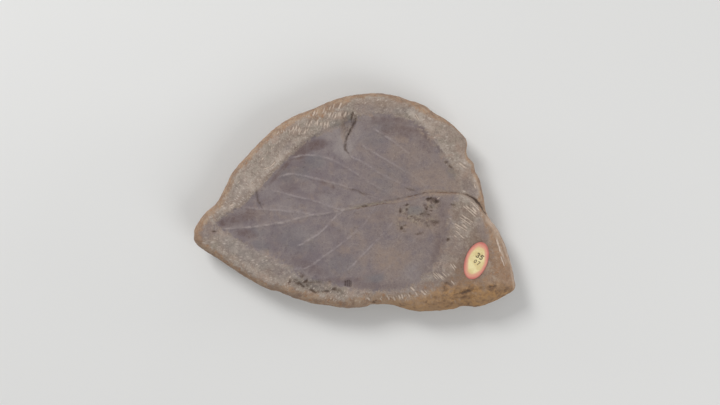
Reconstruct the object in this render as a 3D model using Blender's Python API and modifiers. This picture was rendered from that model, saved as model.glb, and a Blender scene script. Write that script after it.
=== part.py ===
"""A fossil leaf plate: a flat stone nodule split to show a broad leaf, with an oval paper label on its face.

Run it with blender --background --python part.py, or from Blender's text editor. The scene is in metres with
+Z up. The plate lies on the flat of its back, leaf upwards, with the origin on the surface under its middle.
The shape functions below work in millimetres, and every mesh is scaled to metres as it is made.
"""

import math

import bmesh
import bpy
import numpy as np
from mathutils import Matrix, Vector

MM = 0.001

# The point in the leaf that every section of the stone is drawn round
HUB = np.array((-5.0, -2.0))

# Driving dimensions, in millimetres
GIRDLE_HEIGHT = 10.6
FACE_HEIGHT = 16.8
MARGIN_STEP = 0.9
LEAF_CROWN = 0.7
LABEL_LENGTH = 16.7
LABEL_WIDTH = 9.7
LABEL_THICKNESS = 0.25
LABEL_GAP = 0.3

# The widest outline waves up and down: how many waves round the edge, their height and their phase
EDGE_WAVES = ((2, 0.5, 2.6), (3, 0.6, 0.8), (7, 0.3, 0.0), (11, 0.15, 1.9))
LOW_CORNER_DROP = 1.8
LOW_CORNER = (-45, 40)

# The rounded bevel from the widest outline up to the face is wider at the lower right.
# Its changes of width: bearing, spread and extra width.
BEVEL_WIDTH = 4.4
BEVEL_SPREADS = ((-48, 34, 5.2), (130, 50, -0.4), (-10, 22, 1.6))
BEVEL_ROUNDNESS = 1.9

# The back curves down from the widest outline to a flat, whose rim is a softened and smaller outline
BASE_SHARE = 0.56
BACK_ROUNDNESS = 1.75
BACK_SOFTENING = 14
BACK_SWELLS = ((3, 0.8, 1.1), (5, 0.5, 2.0))

# Low swellings and hollows of the face: middle, spread in x and y, and height
FACE_LOBES = (
    ((47, -19), (13, 19), 1.3),
    ((50, 12), (9, 8), -0.8),
    ((-3.2, 33), (2.6, 7), -1.6),
    ((8, -46), (3, 4), -0.5),
    ((-30, -4), (26, 22), 0.35),
)
FACE_WAVE_HEIGHT = 0.22
FACE_WAVE_LENGTHS = (9, 7)
FACE_WAVE_PHASES = (1.3, 0.4)

# The step from the leaf up to the stone left standing round it is highest at the upper left
STEP_AT_ITS_LOWEST = 0.45
STEP_RISE = 0.75
STEP_HIGH_SIDE = (140, 60)
STEP_FOOT = 0.5
STEP_TOP = 1.2

# The plate's widest outline, seen from above, round from the blunt tip on the left
OUTLINE = [
    (-70.0, -14.0), (-69.0, -10.0), (-65.3, -4.8), (-60.3, -0.4), (-56.8, 5.8), (-52.8, 13.2), (-46.8, 20.3),
    (-42.5, 25.0), (-37.0, 30.2), (-30.0, 35.6), (-23.0, 39.0), (-17.5, 41.0), (-12.2, 43.5), (-5.0, 46.0),
    (3.0, 47.4), (11.0, 47.7), (19.0, 46.4), (23.0, 44.9), (30.0, 42.5), (34.3, 39.4), (40.0, 36.0),
    (45.0, 31.6), (48.0, 28.4), (49.0, 25.8), (48.8, 22.6), (49.2, 20.2), (50.8, 18.5), (51.9, 17.0),
    (52.3, 15.2), (52.7, 13.0), (54.7, 9.2), (56.3, 1.5), (57.3, -3.8), (59.5, -7.8), (62.2, -11.2),
    (65.1, -17.0), (67.4, -23.5), (69.1, -29.8), (70.0, -37.3), (66.0, -40.4), (60.0, -43.6), (54.0, -45.4),
    (47.2, -45.2), (42.5, -46.6),
    (29.0, -47.7), (22.0, -46.5), (16.5, -44.8), (7.6, -44.5), (4.5, -45.6), (-3.0, -46.0), (-12.5, -44.7),
    (-18.3, -44.0), (-27.5, -41.1), (-33.0, -38.8), (-38.5, -37.4), (-48.0, -32.3), (-58.0, -25.7),
    (-68.7, -18.3),
]

# The leaf's margin, round from its tip on the left
LEAF = [
    (-59.5, -9.5), (-56.5, -6.0), (-51.0, -2.6), (-46.0, 1.0), (-42.0, 5.2), (-37.0, 10.4), (-32.0, 16.0),
    (-26.5, 21.2), (-21.5, 26.0), (-17.0, 28.4), (-11.0, 31.4), (-4.5, 34.2), (2.0, 37.0), (10.0, 38.2),
    (19.0, 37.6), (25.5, 35.2), (31.0, 30.6), (35.2, 25.2), (39.0, 19.0), (42.6, 12.5), (45.5, 7.0),
    (45.0, 2.0), (42.0, -4.0), (41.0, -10.0), (39.6, -17.0), (36.6, -24.5), (32.0, -31.0), (25.0, -36.6),
    (15.0, -38.6), (4.0, -38.2), (-8.0, -36.2), (-18.0, -33.8), (-25.0, -31.0), (-31.0, -26.0),
    (-38.0, -21.6), (-46.0, -19.2), (-52.0, -15.2),
]

# The midrib's thin end and the side veins, each from the middle of the leaf out towards its margin
MIDRIB = [(2.0, -2.3), (-5.0, -3.4), (-14.0, -5.0), (-22.0, -6.2), (-30.0, -8.4), (-42.0, -10.2),
          (-55.0, -11.2)]
UPPER_VEINS = [
    [(-17.0, -5.4), (-24.0, -4.2), (-32.0, -3.4), (-41.0, -2.8), (-48.0, -2.0)],
    [(-4.0, -3.2), (-10.0, -2.0), (-17.0, 0.7), (-24.0, 2.3), (-30.0, 3.9), (-36.0, 5.2)],
    [(13.0, 0.4), (5.0, 3.4), (-4.0, 7.0), (-13.0, 9.4), (-22.0, 11.5), (-28.5, 12.3), (-34.0, 10.2)],
    [(20.0, 2.0), (9.0, 7.2), (0.0, 13.0), (-7.0, 17.2), (-13.0, 19.5), (-21.0, 20.5), (-28.0, 19.0)],
    [(28.0, 3.4), (20.0, 8.0), (11.0, 12.6), (5.0, 16.6), (-3.0, 20.4)],
    [(32.0, 6.0), (24.0, 12.0), (15.0, 17.2), (9.0, 20.4), (3.0, 24.4)],
    [(34.0, 12.0), (27.0, 18.0), (18.0, 25.0), (12.0, 29.2), (8.0, 31.6)],
]
LOWER_VEINS = [
    [(-5.0, -3.4), (-9.0, -7.0), (-13.0, -11.4), (-18.0, -15.2), (-25.0, -19.2)],
    [(9.0, -1.2), (5.4, -7.8), (-0.4, -13.6), (-8.0, -19.6), (-15.0, -24.4), (-20.0, -28.0), (-27.0, -28.8)],
    [(20.0, 1.0), (16.5, -8.5), (10.2, -15.8), (4.0, -22.0), (-0.5, -26.8), (-4.5, -30.4)],
    [(31.0, 2.5), (30.0, -9.0), (25.0, -17.5), (17.0, -26.0), (9.0, -33.0)],
]
VEIN_RADIUS = 0.5
VEIN_TAPER = 0.55
VEIN_SINK = 0.1
VEIN_SPACING = 5.0

# The groove of the midrib's thick end, and the curved stalk that runs off the plate's right side
MIDRIB_GROOVE = [(0.0, -2.5), (8.0, -1.0), (17.0, 0.8), (25.0, 2.5), (33.0, 4.2), (41.0, 4.2)]
STALK_GROOVE = [(40.0, 4.2), (45.0, 4.0), (48.5, 3.2), (50.4, 1.9), (52.1, 0.3), (53.6, -1.2), (55.0, -3.4),
                (57.0, -6.2), (60.5, -10.0)]
MIDRIB_GROOVE_RADII = (0.5, 0.9)
STALK_GROOVE_RADII = (0.9, 0.9)
MIDRIB_GROOVE_LIFT = 0.05
STALK_GROOVE_SINK = 0.35
GROOVE_SPACING = 3.0

# Slits: a path down the middle of each, and half of its width, which narrows towards both ends
SLITS = [
    ([(0.6, 37.0), (0.1, 34.3), (-1.5, 30.9), (-3.4, 27.4), (-4.0, 25.2), (-3.3, 22.3), (-2.0, 20.4)], 0.55),
    ([(-0.9, 39.2), (-1.1, 37.2), (-1.5, 35.2)], 0.6),
    ([(-42.2, 5.4), (-42.1, 2.6), (-41.0, 0.0), (-39.8, -2.2)], 0.5),
    ([(-0.8, 5.5), (2.0, 4.7), (6.2, 3.2)], 0.4),
    ([(22.8, 6.3), (27.2, 4.5)], 0.55),
    ([(45.4, -38.8), (51.5, -37.6), (56.0, -37.0), (60.8, -36.0)], 0.6),
]

SLIT_SINK = 0.2
SLIT_SPACING = 2.5
SLIT_ENDS = (0.5, 2.8)

# Weathered pits: x, y, half of the length, half of the width, and the turn of the length in degrees
PITS = [
    (33.6, 1.3, 2.9, 1.1, -8),
    (4.6, -1.6, 1.2, 0.6, 10),
    (20.0, -3.7, 1.3, 0.6, 90),
    (22.6, -0.9, 0.9, 0.5, 20),
    (20.5, -11.2, 0.9, 0.7, 60),
    (31.2, -2.6, 0.9, 0.5, 80),
    (40.0, -16.0, 1.1, 0.8, 30),
    (39.8, 17.6, 0.9, 0.6, -20),
    (41.8, 15.0, 1.6, 0.7, -50),
    (-27.5, -34.0, 0.8, 0.7, 60),
    (-23.5, -35.2, 1.9, 0.7, -28),
    (-21.0, -33.9, 0.8, 0.6, 30),
    (-18.0, -38.3, 1.5, 0.6, -25),
    (-12.6, -38.2, 1.5, 0.5, 5),
    (-8.8, -37.3, 1.1, 0.6, 10),
    (-2.9, -34.9, 1.7, 1.2, 0),
    (-60.0, -12.5, 0.8, 0.5, 0),
    (40.0, -34.6, 1.0, 0.8, 30),
]
PIT_DEPTH = 0.8
PIT_RINGS = 3

# Rows of chisel nicks: the row's start and end, how many, and each nick's length and its bearing in degrees
NICK_ROWS = [
    ((-17.0, 38.6), (-4.0, 38.8), 7, 3.2, 72),
    ((-29.0, 31.0), (-12.0, 34.2), 9, 3.0, 70),
    ((48.5, -2.4), (52.6, -1.4), 3, 5.5, -42),
    ((46.5, -10.8), (50.0, -7.6), 3, 4.6, -38),
    ((35.8, -31.8), (39.0, -31.4), 3, 3.4, -42),
    ((15.2, -41.4), (25.0, -40.0), 5, 2.2, -55),
]
NICK_WIDTH = 0.8
NICK_DEPTH = 0.45
NICK_RINGS = 2

# The label's middle on the face, and the bearing of its long axis in degrees
LABEL_PLACE = (52.4, -25.0)
LABEL_BEARING = 69.4
LABEL_RIM_POINTS = 36

# The sections that the stone is lofted through: the points in each, then how far along each lies from the
# widest outline in to the leaf's margin, from the leaf's middle out to it, and from the widest outline down
# to the flat of the back
BEARINGS = 120
MARGIN_SHARES = (0.025, 0.09, 0.2, 0.36, 0.58, 0.8)
LEAF_SHARES = (0.88, 0.76, 0.64, 0.52, 0.4, 0.28, 0.16, 0.07)
BACK_SHARES = (1.0, 0.8, 0.55, 0.3, 0.13, 0.03, 0.0)


def smooth_loop(points, per_span=8):
    """A closed Catmull-Rom curve through the points."""
    p = np.array(points, float)
    a, b, c, d = (np.roll(p, shift, 0)[:, None, :] for shift in (1, 0, -1, -2))
    t = (np.arange(per_span) / per_span)[None, :, None]
    curve = b + 0.5 * ((c - a) * t + (2 * a - 5 * b + 4 * c - d) * t**2 + (3 * b - a - 3 * c + d) * t**3)
    return curve.reshape(-1, 2)


def smooth_path(points, spacing):
    """An open Catmull-Rom curve through the points, with a point about every spacing along it."""
    p = np.array(points, float)
    p = np.vstack([2 * p[0] - p[1], p, 2 * p[-1] - p[-2]])
    a, b, c, d = (p[k : len(p) - 3 + k, None, :] for k in range(4))
    t = (np.arange(8) / 8)[None, :, None]
    curve = b + 0.5 * ((c - a) * t + (2 * a - 5 * b + 4 * c - d) * t**2 + (3 * b - a - 3 * c + d) * t**3)
    dense = np.vstack([curve.reshape(-1, 2), p[-2]])
    run = np.concatenate([[0], np.cumsum(np.hypot(*np.diff(dense, axis=0).T))])
    stops = np.linspace(0, run[-1], max(2, round(run[-1] / spacing) + 1))
    return np.stack([np.interp(stops, run, dense[:, 0]), np.interp(stops, run, dense[:, 1])], axis=1)


class Outline:
    """A closed outline that goes once round the hub."""

    def __init__(self, loop):
        away = loop - HUB
        bearing = np.arctan2(away[:, 1], away[:, 0])
        order = np.argsort(bearing)
        self.loop = loop
        self.bearings = bearing[order]
        self.radii = np.hypot(away[:, 0], away[:, 1])[order]

    def reach(self, bearing):
        """How far the outline lies from the hub along a bearing."""
        return np.interp(bearing, self.bearings, self.radii, period=2 * math.pi)

    def inset(self, x, y):
        """How far inside the outline a point lies, to the nearest stretch of it, and minus outside it."""
        start = self.loop
        run = np.roll(start, -1, 0) - start
        off_x = np.asarray(x)[..., None] - start[:, 0]
        off_y = np.asarray(y)[..., None] - start[:, 1]
        share = np.clip((off_x * run[:, 0] + off_y * run[:, 1]) / (run**2).sum(axis=1), 0, 1)
        nearest = np.hypot(off_x - share * run[:, 0], off_y - share * run[:, 1]).min(axis=-1)
        bearing, radius = polar(x, y)
        return np.where(radius < self.reach(bearing), nearest, -nearest)


def polar(x, y):
    """The bearing and the distance of a point from the hub."""
    return np.arctan2(y - HUB[1], x - HUB[0]), np.hypot(x - HUB[0], y - HUB[1])


def softened(outline, spread_deg):
    """The same outline with its corners and notches rounded away."""
    bearings = np.radians(np.arange(-180, 180, 2))
    away = np.angle(np.exp(1j * (bearings[:, None] - bearings)))
    weight = np.exp(-((away / math.radians(spread_deg)) ** 2))
    radii = weight @ outline.reach(bearings) / weight.sum(axis=1)
    return Outline(HUB + np.stack([radii * np.cos(bearings), radii * np.sin(bearings)], axis=1))


STONE_EDGE = Outline(smooth_loop(OUTLINE))
SOFT_EDGE = softened(STONE_EDGE, BACK_SOFTENING)
LEAF_EDGE = Outline(smooth_loop(LEAF))


def smooth_step(low, high, value):
    """Nothing below low, one above high, and a smooth rise between."""
    t = np.clip((value - low) / (high - low), 0, 1)
    return t * t * (3 - 2 * t)


def hill(x, y, middle, spread):
    """A round hill one unit high, which fades over spread in x and y."""
    return np.exp(-(((x - middle[0]) / spread[0]) ** 2) - ((y - middle[1]) / spread[1]) ** 2)


def bearing_bump(bearing, middle_deg, spread_deg):
    """One at a bearing, fading to nothing on both sides of it."""
    away = np.angle(np.exp(1j * (bearing - math.radians(middle_deg))))
    return np.exp(-((away / math.radians(spread_deg)) ** 2))


def girdle_height(bearing):
    """The height of the widest outline: lower at the lower right corner, with slow waves round the edge."""
    waves = sum(height * np.sin(count * bearing + phase) for count, height, phase in EDGE_WAVES)
    return GIRDLE_HEIGHT + waves - LOW_CORNER_DROP * bearing_bump(bearing, *LOW_CORNER)


def rounded(share, roundness):
    """A quarter of a rounded edge: upright at 0 and level from 1 on, squarer with more roundness."""
    return (1 - (1 - np.clip(share, 0, 1)) ** roundness) ** (1 / roundness)


def face_height(x, y):
    """The height of the leaf's side of the stone at any point inside the outline."""
    bearing, radius = polar(x, y)
    crown = LEAF_CROWN * (1 - np.clip(radius / LEAF_EDGE.reach(bearing), 0, 1) ** 2)
    step_height = MARGIN_STEP * (STEP_AT_ITS_LOWEST + STEP_RISE * bearing_bump(bearing, *STEP_HIGH_SIDE))
    step = step_height * smooth_step(-STEP_FOOT, STEP_TOP, -LEAF_EDGE.inset(x, y))
    lobes = sum(height * hill(x, y, middle, spread) for middle, spread, height in FACE_LOBES)
    wave_x = np.sin(x / FACE_WAVE_LENGTHS[0] + FACE_WAVE_PHASES[0])
    wave_y = np.sin(y / FACE_WAVE_LENGTHS[1] + FACE_WAVE_PHASES[1])
    inner = FACE_HEIGHT + crown + step + lobes + FACE_WAVE_HEIGHT * wave_x * wave_y
    extra_width = sum(extra * bearing_bump(bearing, at, spread) for at, spread, extra in BEVEL_SPREADS)
    width = BEVEL_WIDTH + extra_width
    low = girdle_height(bearing)
    return low + (inner - low) * rounded(STONE_EDGE.inset(x, y) / width, BEVEL_ROUNDNESS)


def back_section(bearings, share):
    """A section of the back as points: share is 0 at the widest outline and 1 at the rim of the flat."""
    sharp = STONE_EDGE.reach(bearings)
    soft = SOFT_EDGE.reach(bearings)
    outer = soft + (sharp - soft) * (1 - share) ** 3
    radii = outer + (BASE_SHARE * soft - outer) * share
    swell = sum(height * np.sin(count * bearings + phase) for count, height, phase in BACK_SWELLS)
    height = girdle_height(bearings) * (1 - rounded(share, BACK_ROUNDNESS)) + swell * share * (1 - share) ** 2
    return np.stack([HUB[0] + radii * np.cos(bearings), HUB[1] + radii * np.sin(bearings), height], axis=1)


def face_section(bearings, radii):
    """A section of the face as points, at a radius for each bearing."""
    x = HUB[0] + radii * np.cos(bearings)
    y = HUB[1] + radii * np.sin(bearings)
    return np.stack([x, y, face_height(x, y)], axis=1)


def stone_sections():
    """The stone's sections, from the rim of the flat under it, out round its edge and in over the leaf."""
    bearings = np.arange(BEARINGS) * 2 * math.pi / BEARINGS
    stone = STONE_EDGE.reach(bearings)
    leaf = LEAF_EDGE.reach(bearings)
    sections = [back_section(bearings, share) for share in BACK_SHARES]
    sections += [face_section(bearings, stone + (leaf - stone) * share) for share in MARGIN_SHARES]
    sections += [face_section(bearings, leaf + offset) for offset in (STEP_TOP, -STEP_FOOT)]
    sections += [face_section(bearings, leaf * share) for share in LEAF_SHARES]
    return sections


def mesh_object(name, bm, collection):
    """A new object with the mesh, which is given in millimetres."""
    bmesh.ops.scale(bm, vec=Vector((MM, MM, MM)), verts=bm.verts)
    bmesh.ops.recalc_face_normals(bm, faces=bm.faces)
    mesh = bpy.data.meshes.new(name)
    bm.to_mesh(mesh)
    bm.free()
    made = bpy.data.objects.new(name, mesh)
    collection.objects.link(made)
    return made


def loft_stone(collection):
    """The bare stone: a loft through unlike sections, closed with a flat below and a fan in the leaf."""
    bm = bmesh.new()
    rows = [[bm.verts.new(point) for point in section] for section in stone_sections()]
    for below, above in zip(rows, rows[1:]):
        for k in range(BEARINGS):
            nxt = (k + 1) % BEARINGS
            bm.faces.new((below[k], below[nxt], above[nxt], above[k]))
    bm.faces.new(rows[0])
    middle = bm.verts.new((HUB[0], HUB[1], float(face_height(HUB[0], HUB[1]))))
    for k in range(BEARINGS):
        bm.faces.new((rows[-1][k], rows[-1][(k + 1) % BEARINGS], middle))
    return mesh_object("stone_plate", bm, collection)


def tube(name, path, radii, lift, collection):
    """A tube that follows the face along a path, as a closed mesh, with its middle at lift above the face."""
    curve = bpy.data.curves.new(name, "CURVE")
    curve.dimensions = "3D"
    curve.bevel_depth = MM
    curve.bevel_resolution = 1
    curve.use_fill_caps = True
    spline = curve.splines.new("POLY")
    spline.points.add(len(path) - 1)
    heights = face_height(path[:, 0], path[:, 1]) + lift
    for point, (x, y), z, radius in zip(spline.points, path, heights, radii):
        point.co = (x * MM, y * MM, z * MM, 1)
        point.radius = radius
    shape = bpy.data.objects.new(name, curve)
    collection.objects.link(shape)
    bpy.context.view_layer.update()
    mesh = bpy.data.meshes.new_from_object(shape.evaluated_get(bpy.context.evaluated_depsgraph_get()))
    bpy.data.objects.remove(shape)
    bpy.data.curves.remove(curve)
    bm = bmesh.new()
    bm.from_mesh(mesh)
    bpy.data.meshes.remove(mesh)
    bmesh.ops.remove_doubles(bm, verts=bm.verts, dist=0.00001)
    bmesh.ops.scale(bm, vec=Vector((1 / MM, 1 / MM, 1 / MM)), verts=bm.verts)
    return mesh_object(name, bm, collection)


def boat(name, x, y, size, bearing_deg, rings, collection):
    """A boat-shaped cutter, sunk to its deck in the face, for a pit or a nick: size is its half length, half
    width and depth."""
    bm = bmesh.new()
    bmesh.ops.create_uvsphere(bm, u_segments=2 * rings, v_segments=rings, radius=1)
    bmesh.ops.scale(bm, vec=Vector(size), verts=bm.verts)
    turn = Matrix.Rotation(math.radians(bearing_deg), 4, "Z")
    ahead = turn @ Vector((size[0], 0, 0))
    bow = float(face_height(x + ahead.x, y + ahead.y))
    stern = float(face_height(x - ahead.x, y - ahead.y))
    pitch = Matrix.Rotation(-math.atan2(bow - stern, 2 * size[0]), 4, "Y")
    place = Matrix.Translation((x, y, float(face_height(x, y))))
    bmesh.ops.transform(bm, matrix=place @ turn @ pitch, verts=bm.verts)
    return mesh_object(name, bm, collection)


def vein_tubes(collection):
    """The raised veins: the midrib's thin end and the side veins, each thinner towards the margin."""
    made = []
    for k, points in enumerate([MIDRIB, *UPPER_VEINS, *LOWER_VEINS]):
        path = smooth_path(points, VEIN_SPACING)
        radii = VEIN_RADIUS * np.linspace(1, VEIN_TAPER, len(path))
        made.append(tube(f"vein_{k}", path, radii, -VEIN_SINK, collection))
    return made


def groove_cutters(collection):
    """The midrib's groove, the stalk's deeper one and the slits."""
    midrib = smooth_path(MIDRIB_GROOVE, VEIN_SPACING)
    radii = np.linspace(*MIDRIB_GROOVE_RADII, len(midrib))
    made = [tube("midrib_groove", midrib, radii, MIDRIB_GROOVE_LIFT, collection)]
    stalk = smooth_path(STALK_GROOVE, GROOVE_SPACING)
    radii = np.linspace(*STALK_GROOVE_RADII, len(stalk))
    made.append(tube("stalk_groove", stalk, radii, -STALK_GROOVE_SINK, collection))
    for k, (points, half_width) in enumerate(SLITS):
        path = smooth_path(points, SLIT_SPACING)
        radii = half_width * np.sin(np.linspace(*SLIT_ENDS, len(path)))
        made.append(tube(f"slit_{k}", path, radii, -SLIT_SINK, collection))
    return made


def mark_cutters(collection):
    """The weathered pits, and the rows of nicks that the preparer's chisel left round the leaf."""
    made = []
    for k, (x, y, half_length, half_width, bearing) in enumerate(PITS):
        size = (half_length, half_width, PIT_DEPTH)
        made.append(boat(f"pit_{k}", x, y, size, bearing, PIT_RINGS, collection))
    for row, (start, end, count, length, bearing) in enumerate(NICK_ROWS):
        for k in range(count):
            share = k / (count - 1)
            x = start[0] + (end[0] - start[0]) * share
            y = start[1] + (end[1] - start[1]) * share
            size = (length / 2, NICK_WIDTH / 2, NICK_DEPTH)
            made.append(boat(f"nick_{row}_{k}", x, y, size, bearing, NICK_RINGS, collection))
    return made


def combine(stone, tools, operation):
    """Joins the tools to the stone or cuts them out of it, one at a time, and keeps only the result."""
    for tool in tools:
        modifier = stone.modifiers.new(operation.lower(), "BOOLEAN")
        modifier.operation = operation
        modifier.object = tool
        bpy.context.view_layer.update()
        evaluated = stone.evaluated_get(bpy.context.evaluated_depsgraph_get())
        result = bpy.data.meshes.new_from_object(evaluated)
        stone.modifiers.clear()
        old = stone.data
        stone.data = result
        bpy.data.meshes.remove(old)
        bpy.data.objects.remove(tool)


def material(name, colour, roughness):
    made = bpy.data.materials.new(name)
    made.use_nodes = True
    shader = made.node_tree.nodes["Principled BSDF"]
    shader.inputs["Base Color"].default_value = (*colour, 1)
    shader.inputs["Roughness"].default_value = roughness
    shader.inputs["Metallic"].default_value = 0
    return made


def make_stone(parts, helpers):
    """The stone and its leaf are one piece: the veins are joined to it, and the marks are cut into it."""
    stone = loft_stone(parts)
    combine(stone, vein_tubes(helpers), "UNION")
    combine(stone, groove_cutters(helpers), "DIFFERENCE")
    combine(stone, mark_cutters(helpers), "DIFFERENCE")
    stone.data.materials.clear()
    stone.data.materials.append(material("brown_grey_stone", (0.22, 0.18, 0.155), 0.9))
    return stone


def make_label(parts):
    """The paper label: an oval that follows the face just clear of it, thickened upwards."""
    bm = bmesh.new()
    turn = math.radians(LABEL_BEARING)
    rings = []
    for share in (0.0, 0.5, 1.0):
        count = 1 if share == 0 else LABEL_RIM_POINTS
        angles = np.arange(count) * 2 * math.pi / LABEL_RIM_POINTS
        along = share * LABEL_LENGTH / 2 * np.cos(angles)
        across = share * LABEL_WIDTH / 2 * np.sin(angles)
        x = LABEL_PLACE[0] + along * math.cos(turn) - across * math.sin(turn)
        y = LABEL_PLACE[1] + along * math.sin(turn) + across * math.cos(turn)
        z = face_height(x, y) + LABEL_GAP
        rings.append([bm.verts.new(point) for point in np.stack([x, y, z], axis=1)])
    for k in range(LABEL_RIM_POINTS):
        nxt = (k + 1) % LABEL_RIM_POINTS
        bm.faces.new((rings[0][0], rings[1][k], rings[1][nxt]))
        bm.faces.new((rings[1][k], rings[2][k], rings[2][nxt], rings[1][nxt]))
    label = mesh_object("paper_label", bm, parts)
    paper = label.modifiers.new("thickness", "SOLIDIFY")
    paper.thickness = LABEL_THICKNESS * MM
    paper.offset = 1
    label.data.materials.append(material("label_paper", (0.75, 0.66, 0.4), 0.8))
    return label


def main():
    for old in list(bpy.data.objects):
        bpy.data.objects.remove(old)
    parts = bpy.data.collections.new("fossil_leaf_plate")
    helpers = bpy.data.collections.new("cutters")
    for collection in (parts, helpers):
        bpy.context.scene.collection.children.link(collection)
    make_stone(parts, helpers)
    make_label(parts)


main()
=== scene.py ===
import math

import bpy
import numpy as np
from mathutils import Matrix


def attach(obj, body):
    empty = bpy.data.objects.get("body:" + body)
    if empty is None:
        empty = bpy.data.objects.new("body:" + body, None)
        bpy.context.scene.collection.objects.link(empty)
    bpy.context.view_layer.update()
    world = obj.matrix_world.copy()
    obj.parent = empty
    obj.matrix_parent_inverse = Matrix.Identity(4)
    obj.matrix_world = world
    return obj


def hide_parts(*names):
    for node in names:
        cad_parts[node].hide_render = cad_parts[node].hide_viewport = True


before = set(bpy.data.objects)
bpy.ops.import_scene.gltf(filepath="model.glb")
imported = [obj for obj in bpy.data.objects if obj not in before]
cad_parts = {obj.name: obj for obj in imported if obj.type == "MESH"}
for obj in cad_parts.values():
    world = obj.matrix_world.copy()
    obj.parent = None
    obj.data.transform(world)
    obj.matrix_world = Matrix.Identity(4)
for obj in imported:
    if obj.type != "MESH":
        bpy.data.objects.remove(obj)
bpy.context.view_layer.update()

# The stone plate
# A flat nodule of fine brown-grey ironstone, split along the broad leaf that it grew round. The leaf lies in
# the split face as a purple-grey film with raised veins, and the stone round it has been chiselled back.
# Lengths in this section are in millimetres, and the mesh is scaled to metres as it is made.
MM = 0.001
HUB = np.array((-5.0, -2.0))
GIRDLE_HEIGHT = 10.6
FACE_HEIGHT = 16.8
MARGIN_STEP = 0.9
LEAF_CROWN = 0.7

# The widest outline waves up and down: how many waves round the edge, their height and their phase
EDGE_WAVES = ((2, 0.5, 2.6), (3, 0.6, 0.8), (7, 0.3, 0.0), (11, 0.15, 1.9))
LOW_CORNER_DROP = 1.8
LOW_CORNER = (-45, 40)

# The rounded bevel up to the face, and where it is wider or narrower: bearing, spread and extra width
BEVEL_WIDTH = 4.4
BEVEL_SPREADS = ((-48, 34, 5.2), (130, 50, -0.4), (-10, 22, 1.6))
BEVEL_ROUNDNESS = 1.9

# The back curves down from the widest outline to a flat, whose rim is a softened and smaller outline
BASE_SHARE = 0.56
BACK_ROUNDNESS = 1.75
BACK_SOFTENING = 14
BACK_SWELLS = ((3, 0.8, 1.1), (5, 0.5, 2.0))

# Low swellings and hollows of the face: middle, spread in x and y, and height
FACE_LOBES = (
    ((47, -19), (13, 19), 1.3),
    ((50, 12), (9, 8), -0.8),
    ((-3.2, 33), (2.6, 7), -1.6),
    ((8, -46), (3, 4), -0.5),
    ((-30, -4), (26, 22), 0.35),
)
FACE_WAVE_HEIGHT = 0.22
FACE_WAVE_LENGTHS = (9, 7)
FACE_WAVE_PHASES = (1.3, 0.4)

# The step from the leaf up to the stone left standing round it is highest at the upper left
STEP_AT_ITS_LOWEST = 0.45
STEP_RISE = 0.75
STEP_HIGH_SIDE = (140, 60)
STEP_FOOT = 0.5
STEP_TOP = 1.2

# The plate's widest outline, seen from above, round from the blunt tip on the left
OUTLINE = [
    (-70.0, -14.0), (-69.0, -10.0), (-65.3, -4.8), (-60.3, -0.4), (-56.8, 5.8), (-52.8, 13.2), (-46.8, 20.3),
    (-42.5, 25.0), (-37.0, 30.2), (-30.0, 35.6), (-23.0, 39.0), (-17.5, 41.0), (-12.2, 43.5), (-5.0, 46.0),
    (3.0, 47.4), (11.0, 47.7), (19.0, 46.4), (23.0, 44.9), (30.0, 42.5), (34.3, 39.4), (40.0, 36.0),
    (45.0, 31.6), (48.0, 28.4), (49.0, 25.8), (48.8, 22.6), (49.2, 20.2), (50.8, 18.5), (51.9, 17.0),
    (52.3, 15.2), (52.7, 13.0), (54.7, 9.2), (56.3, 1.5), (57.3, -3.8), (59.5, -7.8), (62.2, -11.2),
    (65.1, -17.0), (67.4, -23.5), (69.1, -29.8), (70.0, -37.3), (66.0, -40.4), (60.0, -43.6), (54.0, -45.4),
    (47.2, -45.2), (42.5, -46.6), (29.0, -47.7), (22.0, -46.5), (16.5, -44.8), (7.6, -44.5), (4.5, -45.6),
    (-3.0, -46.0), (-12.5, -44.7), (-18.3, -44.0), (-27.5, -41.1), (-33.0, -38.8), (-38.5, -37.4),
    (-48.0, -32.3), (-58.0, -25.7), (-68.7, -18.3),
]

# The leaf's margin, round from its tip on the left
LEAF = [
    (-59.5, -9.5), (-56.5, -6.0), (-51.0, -2.6), (-46.0, 1.0), (-42.0, 5.2), (-37.0, 10.4), (-32.0, 16.0),
    (-26.5, 21.2), (-21.5, 26.0), (-17.0, 28.4), (-11.0, 31.4), (-4.5, 34.2), (2.0, 37.0), (10.0, 38.2),
    (19.0, 37.6), (25.5, 35.2), (31.0, 30.6), (35.2, 25.2), (39.0, 19.0), (42.6, 12.5), (45.5, 7.0),
    (45.0, 2.0), (42.0, -4.0), (41.0, -10.0), (39.6, -17.0), (36.6, -24.5), (32.0, -31.0), (25.0, -36.6),
    (15.0, -38.6), (4.0, -38.2), (-8.0, -36.2), (-18.0, -33.8), (-25.0, -31.0), (-31.0, -26.0),
    (-38.0, -21.6), (-46.0, -19.2), (-52.0, -15.2),
]


def curve_points(a, b, c, d):
    """Eight points of a Catmull-Rom curve on each stretch from b to c, with a before it and d after it."""
    t = (np.arange(8) / 8)[None, :, None]
    curve = b + 0.5 * ((c - a) * t + (2 * a - 5 * b + 4 * c - d) * t**2 + (3 * b - a - 3 * c + d) * t**3)
    return curve.reshape(-1, 2)


def smooth_loop(points):
    """A closed curve through the points."""
    p = np.array(points, float)
    return curve_points(*(np.roll(p, shift, 0)[:, None, :] for shift in (1, 0, -1, -2)))


def smooth_path(points, spacing):
    """An open curve through the points, with a point about every spacing along it."""
    p = np.array(points, float)
    p = np.vstack([2 * p[0] - p[1], p, 2 * p[-1] - p[-2]])
    dense = np.vstack([curve_points(*(p[k : len(p) - 3 + k, None, :] for k in range(4))), p[-2]])
    run = np.concatenate([[0], np.cumsum(np.hypot(*np.diff(dense, axis=0).T))])
    stops = np.linspace(0, run[-1], max(2, round(run[-1] / spacing) + 1))
    return np.stack([np.interp(stops, run, dense[:, 0]), np.interp(stops, run, dense[:, 1])], axis=1)


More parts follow.
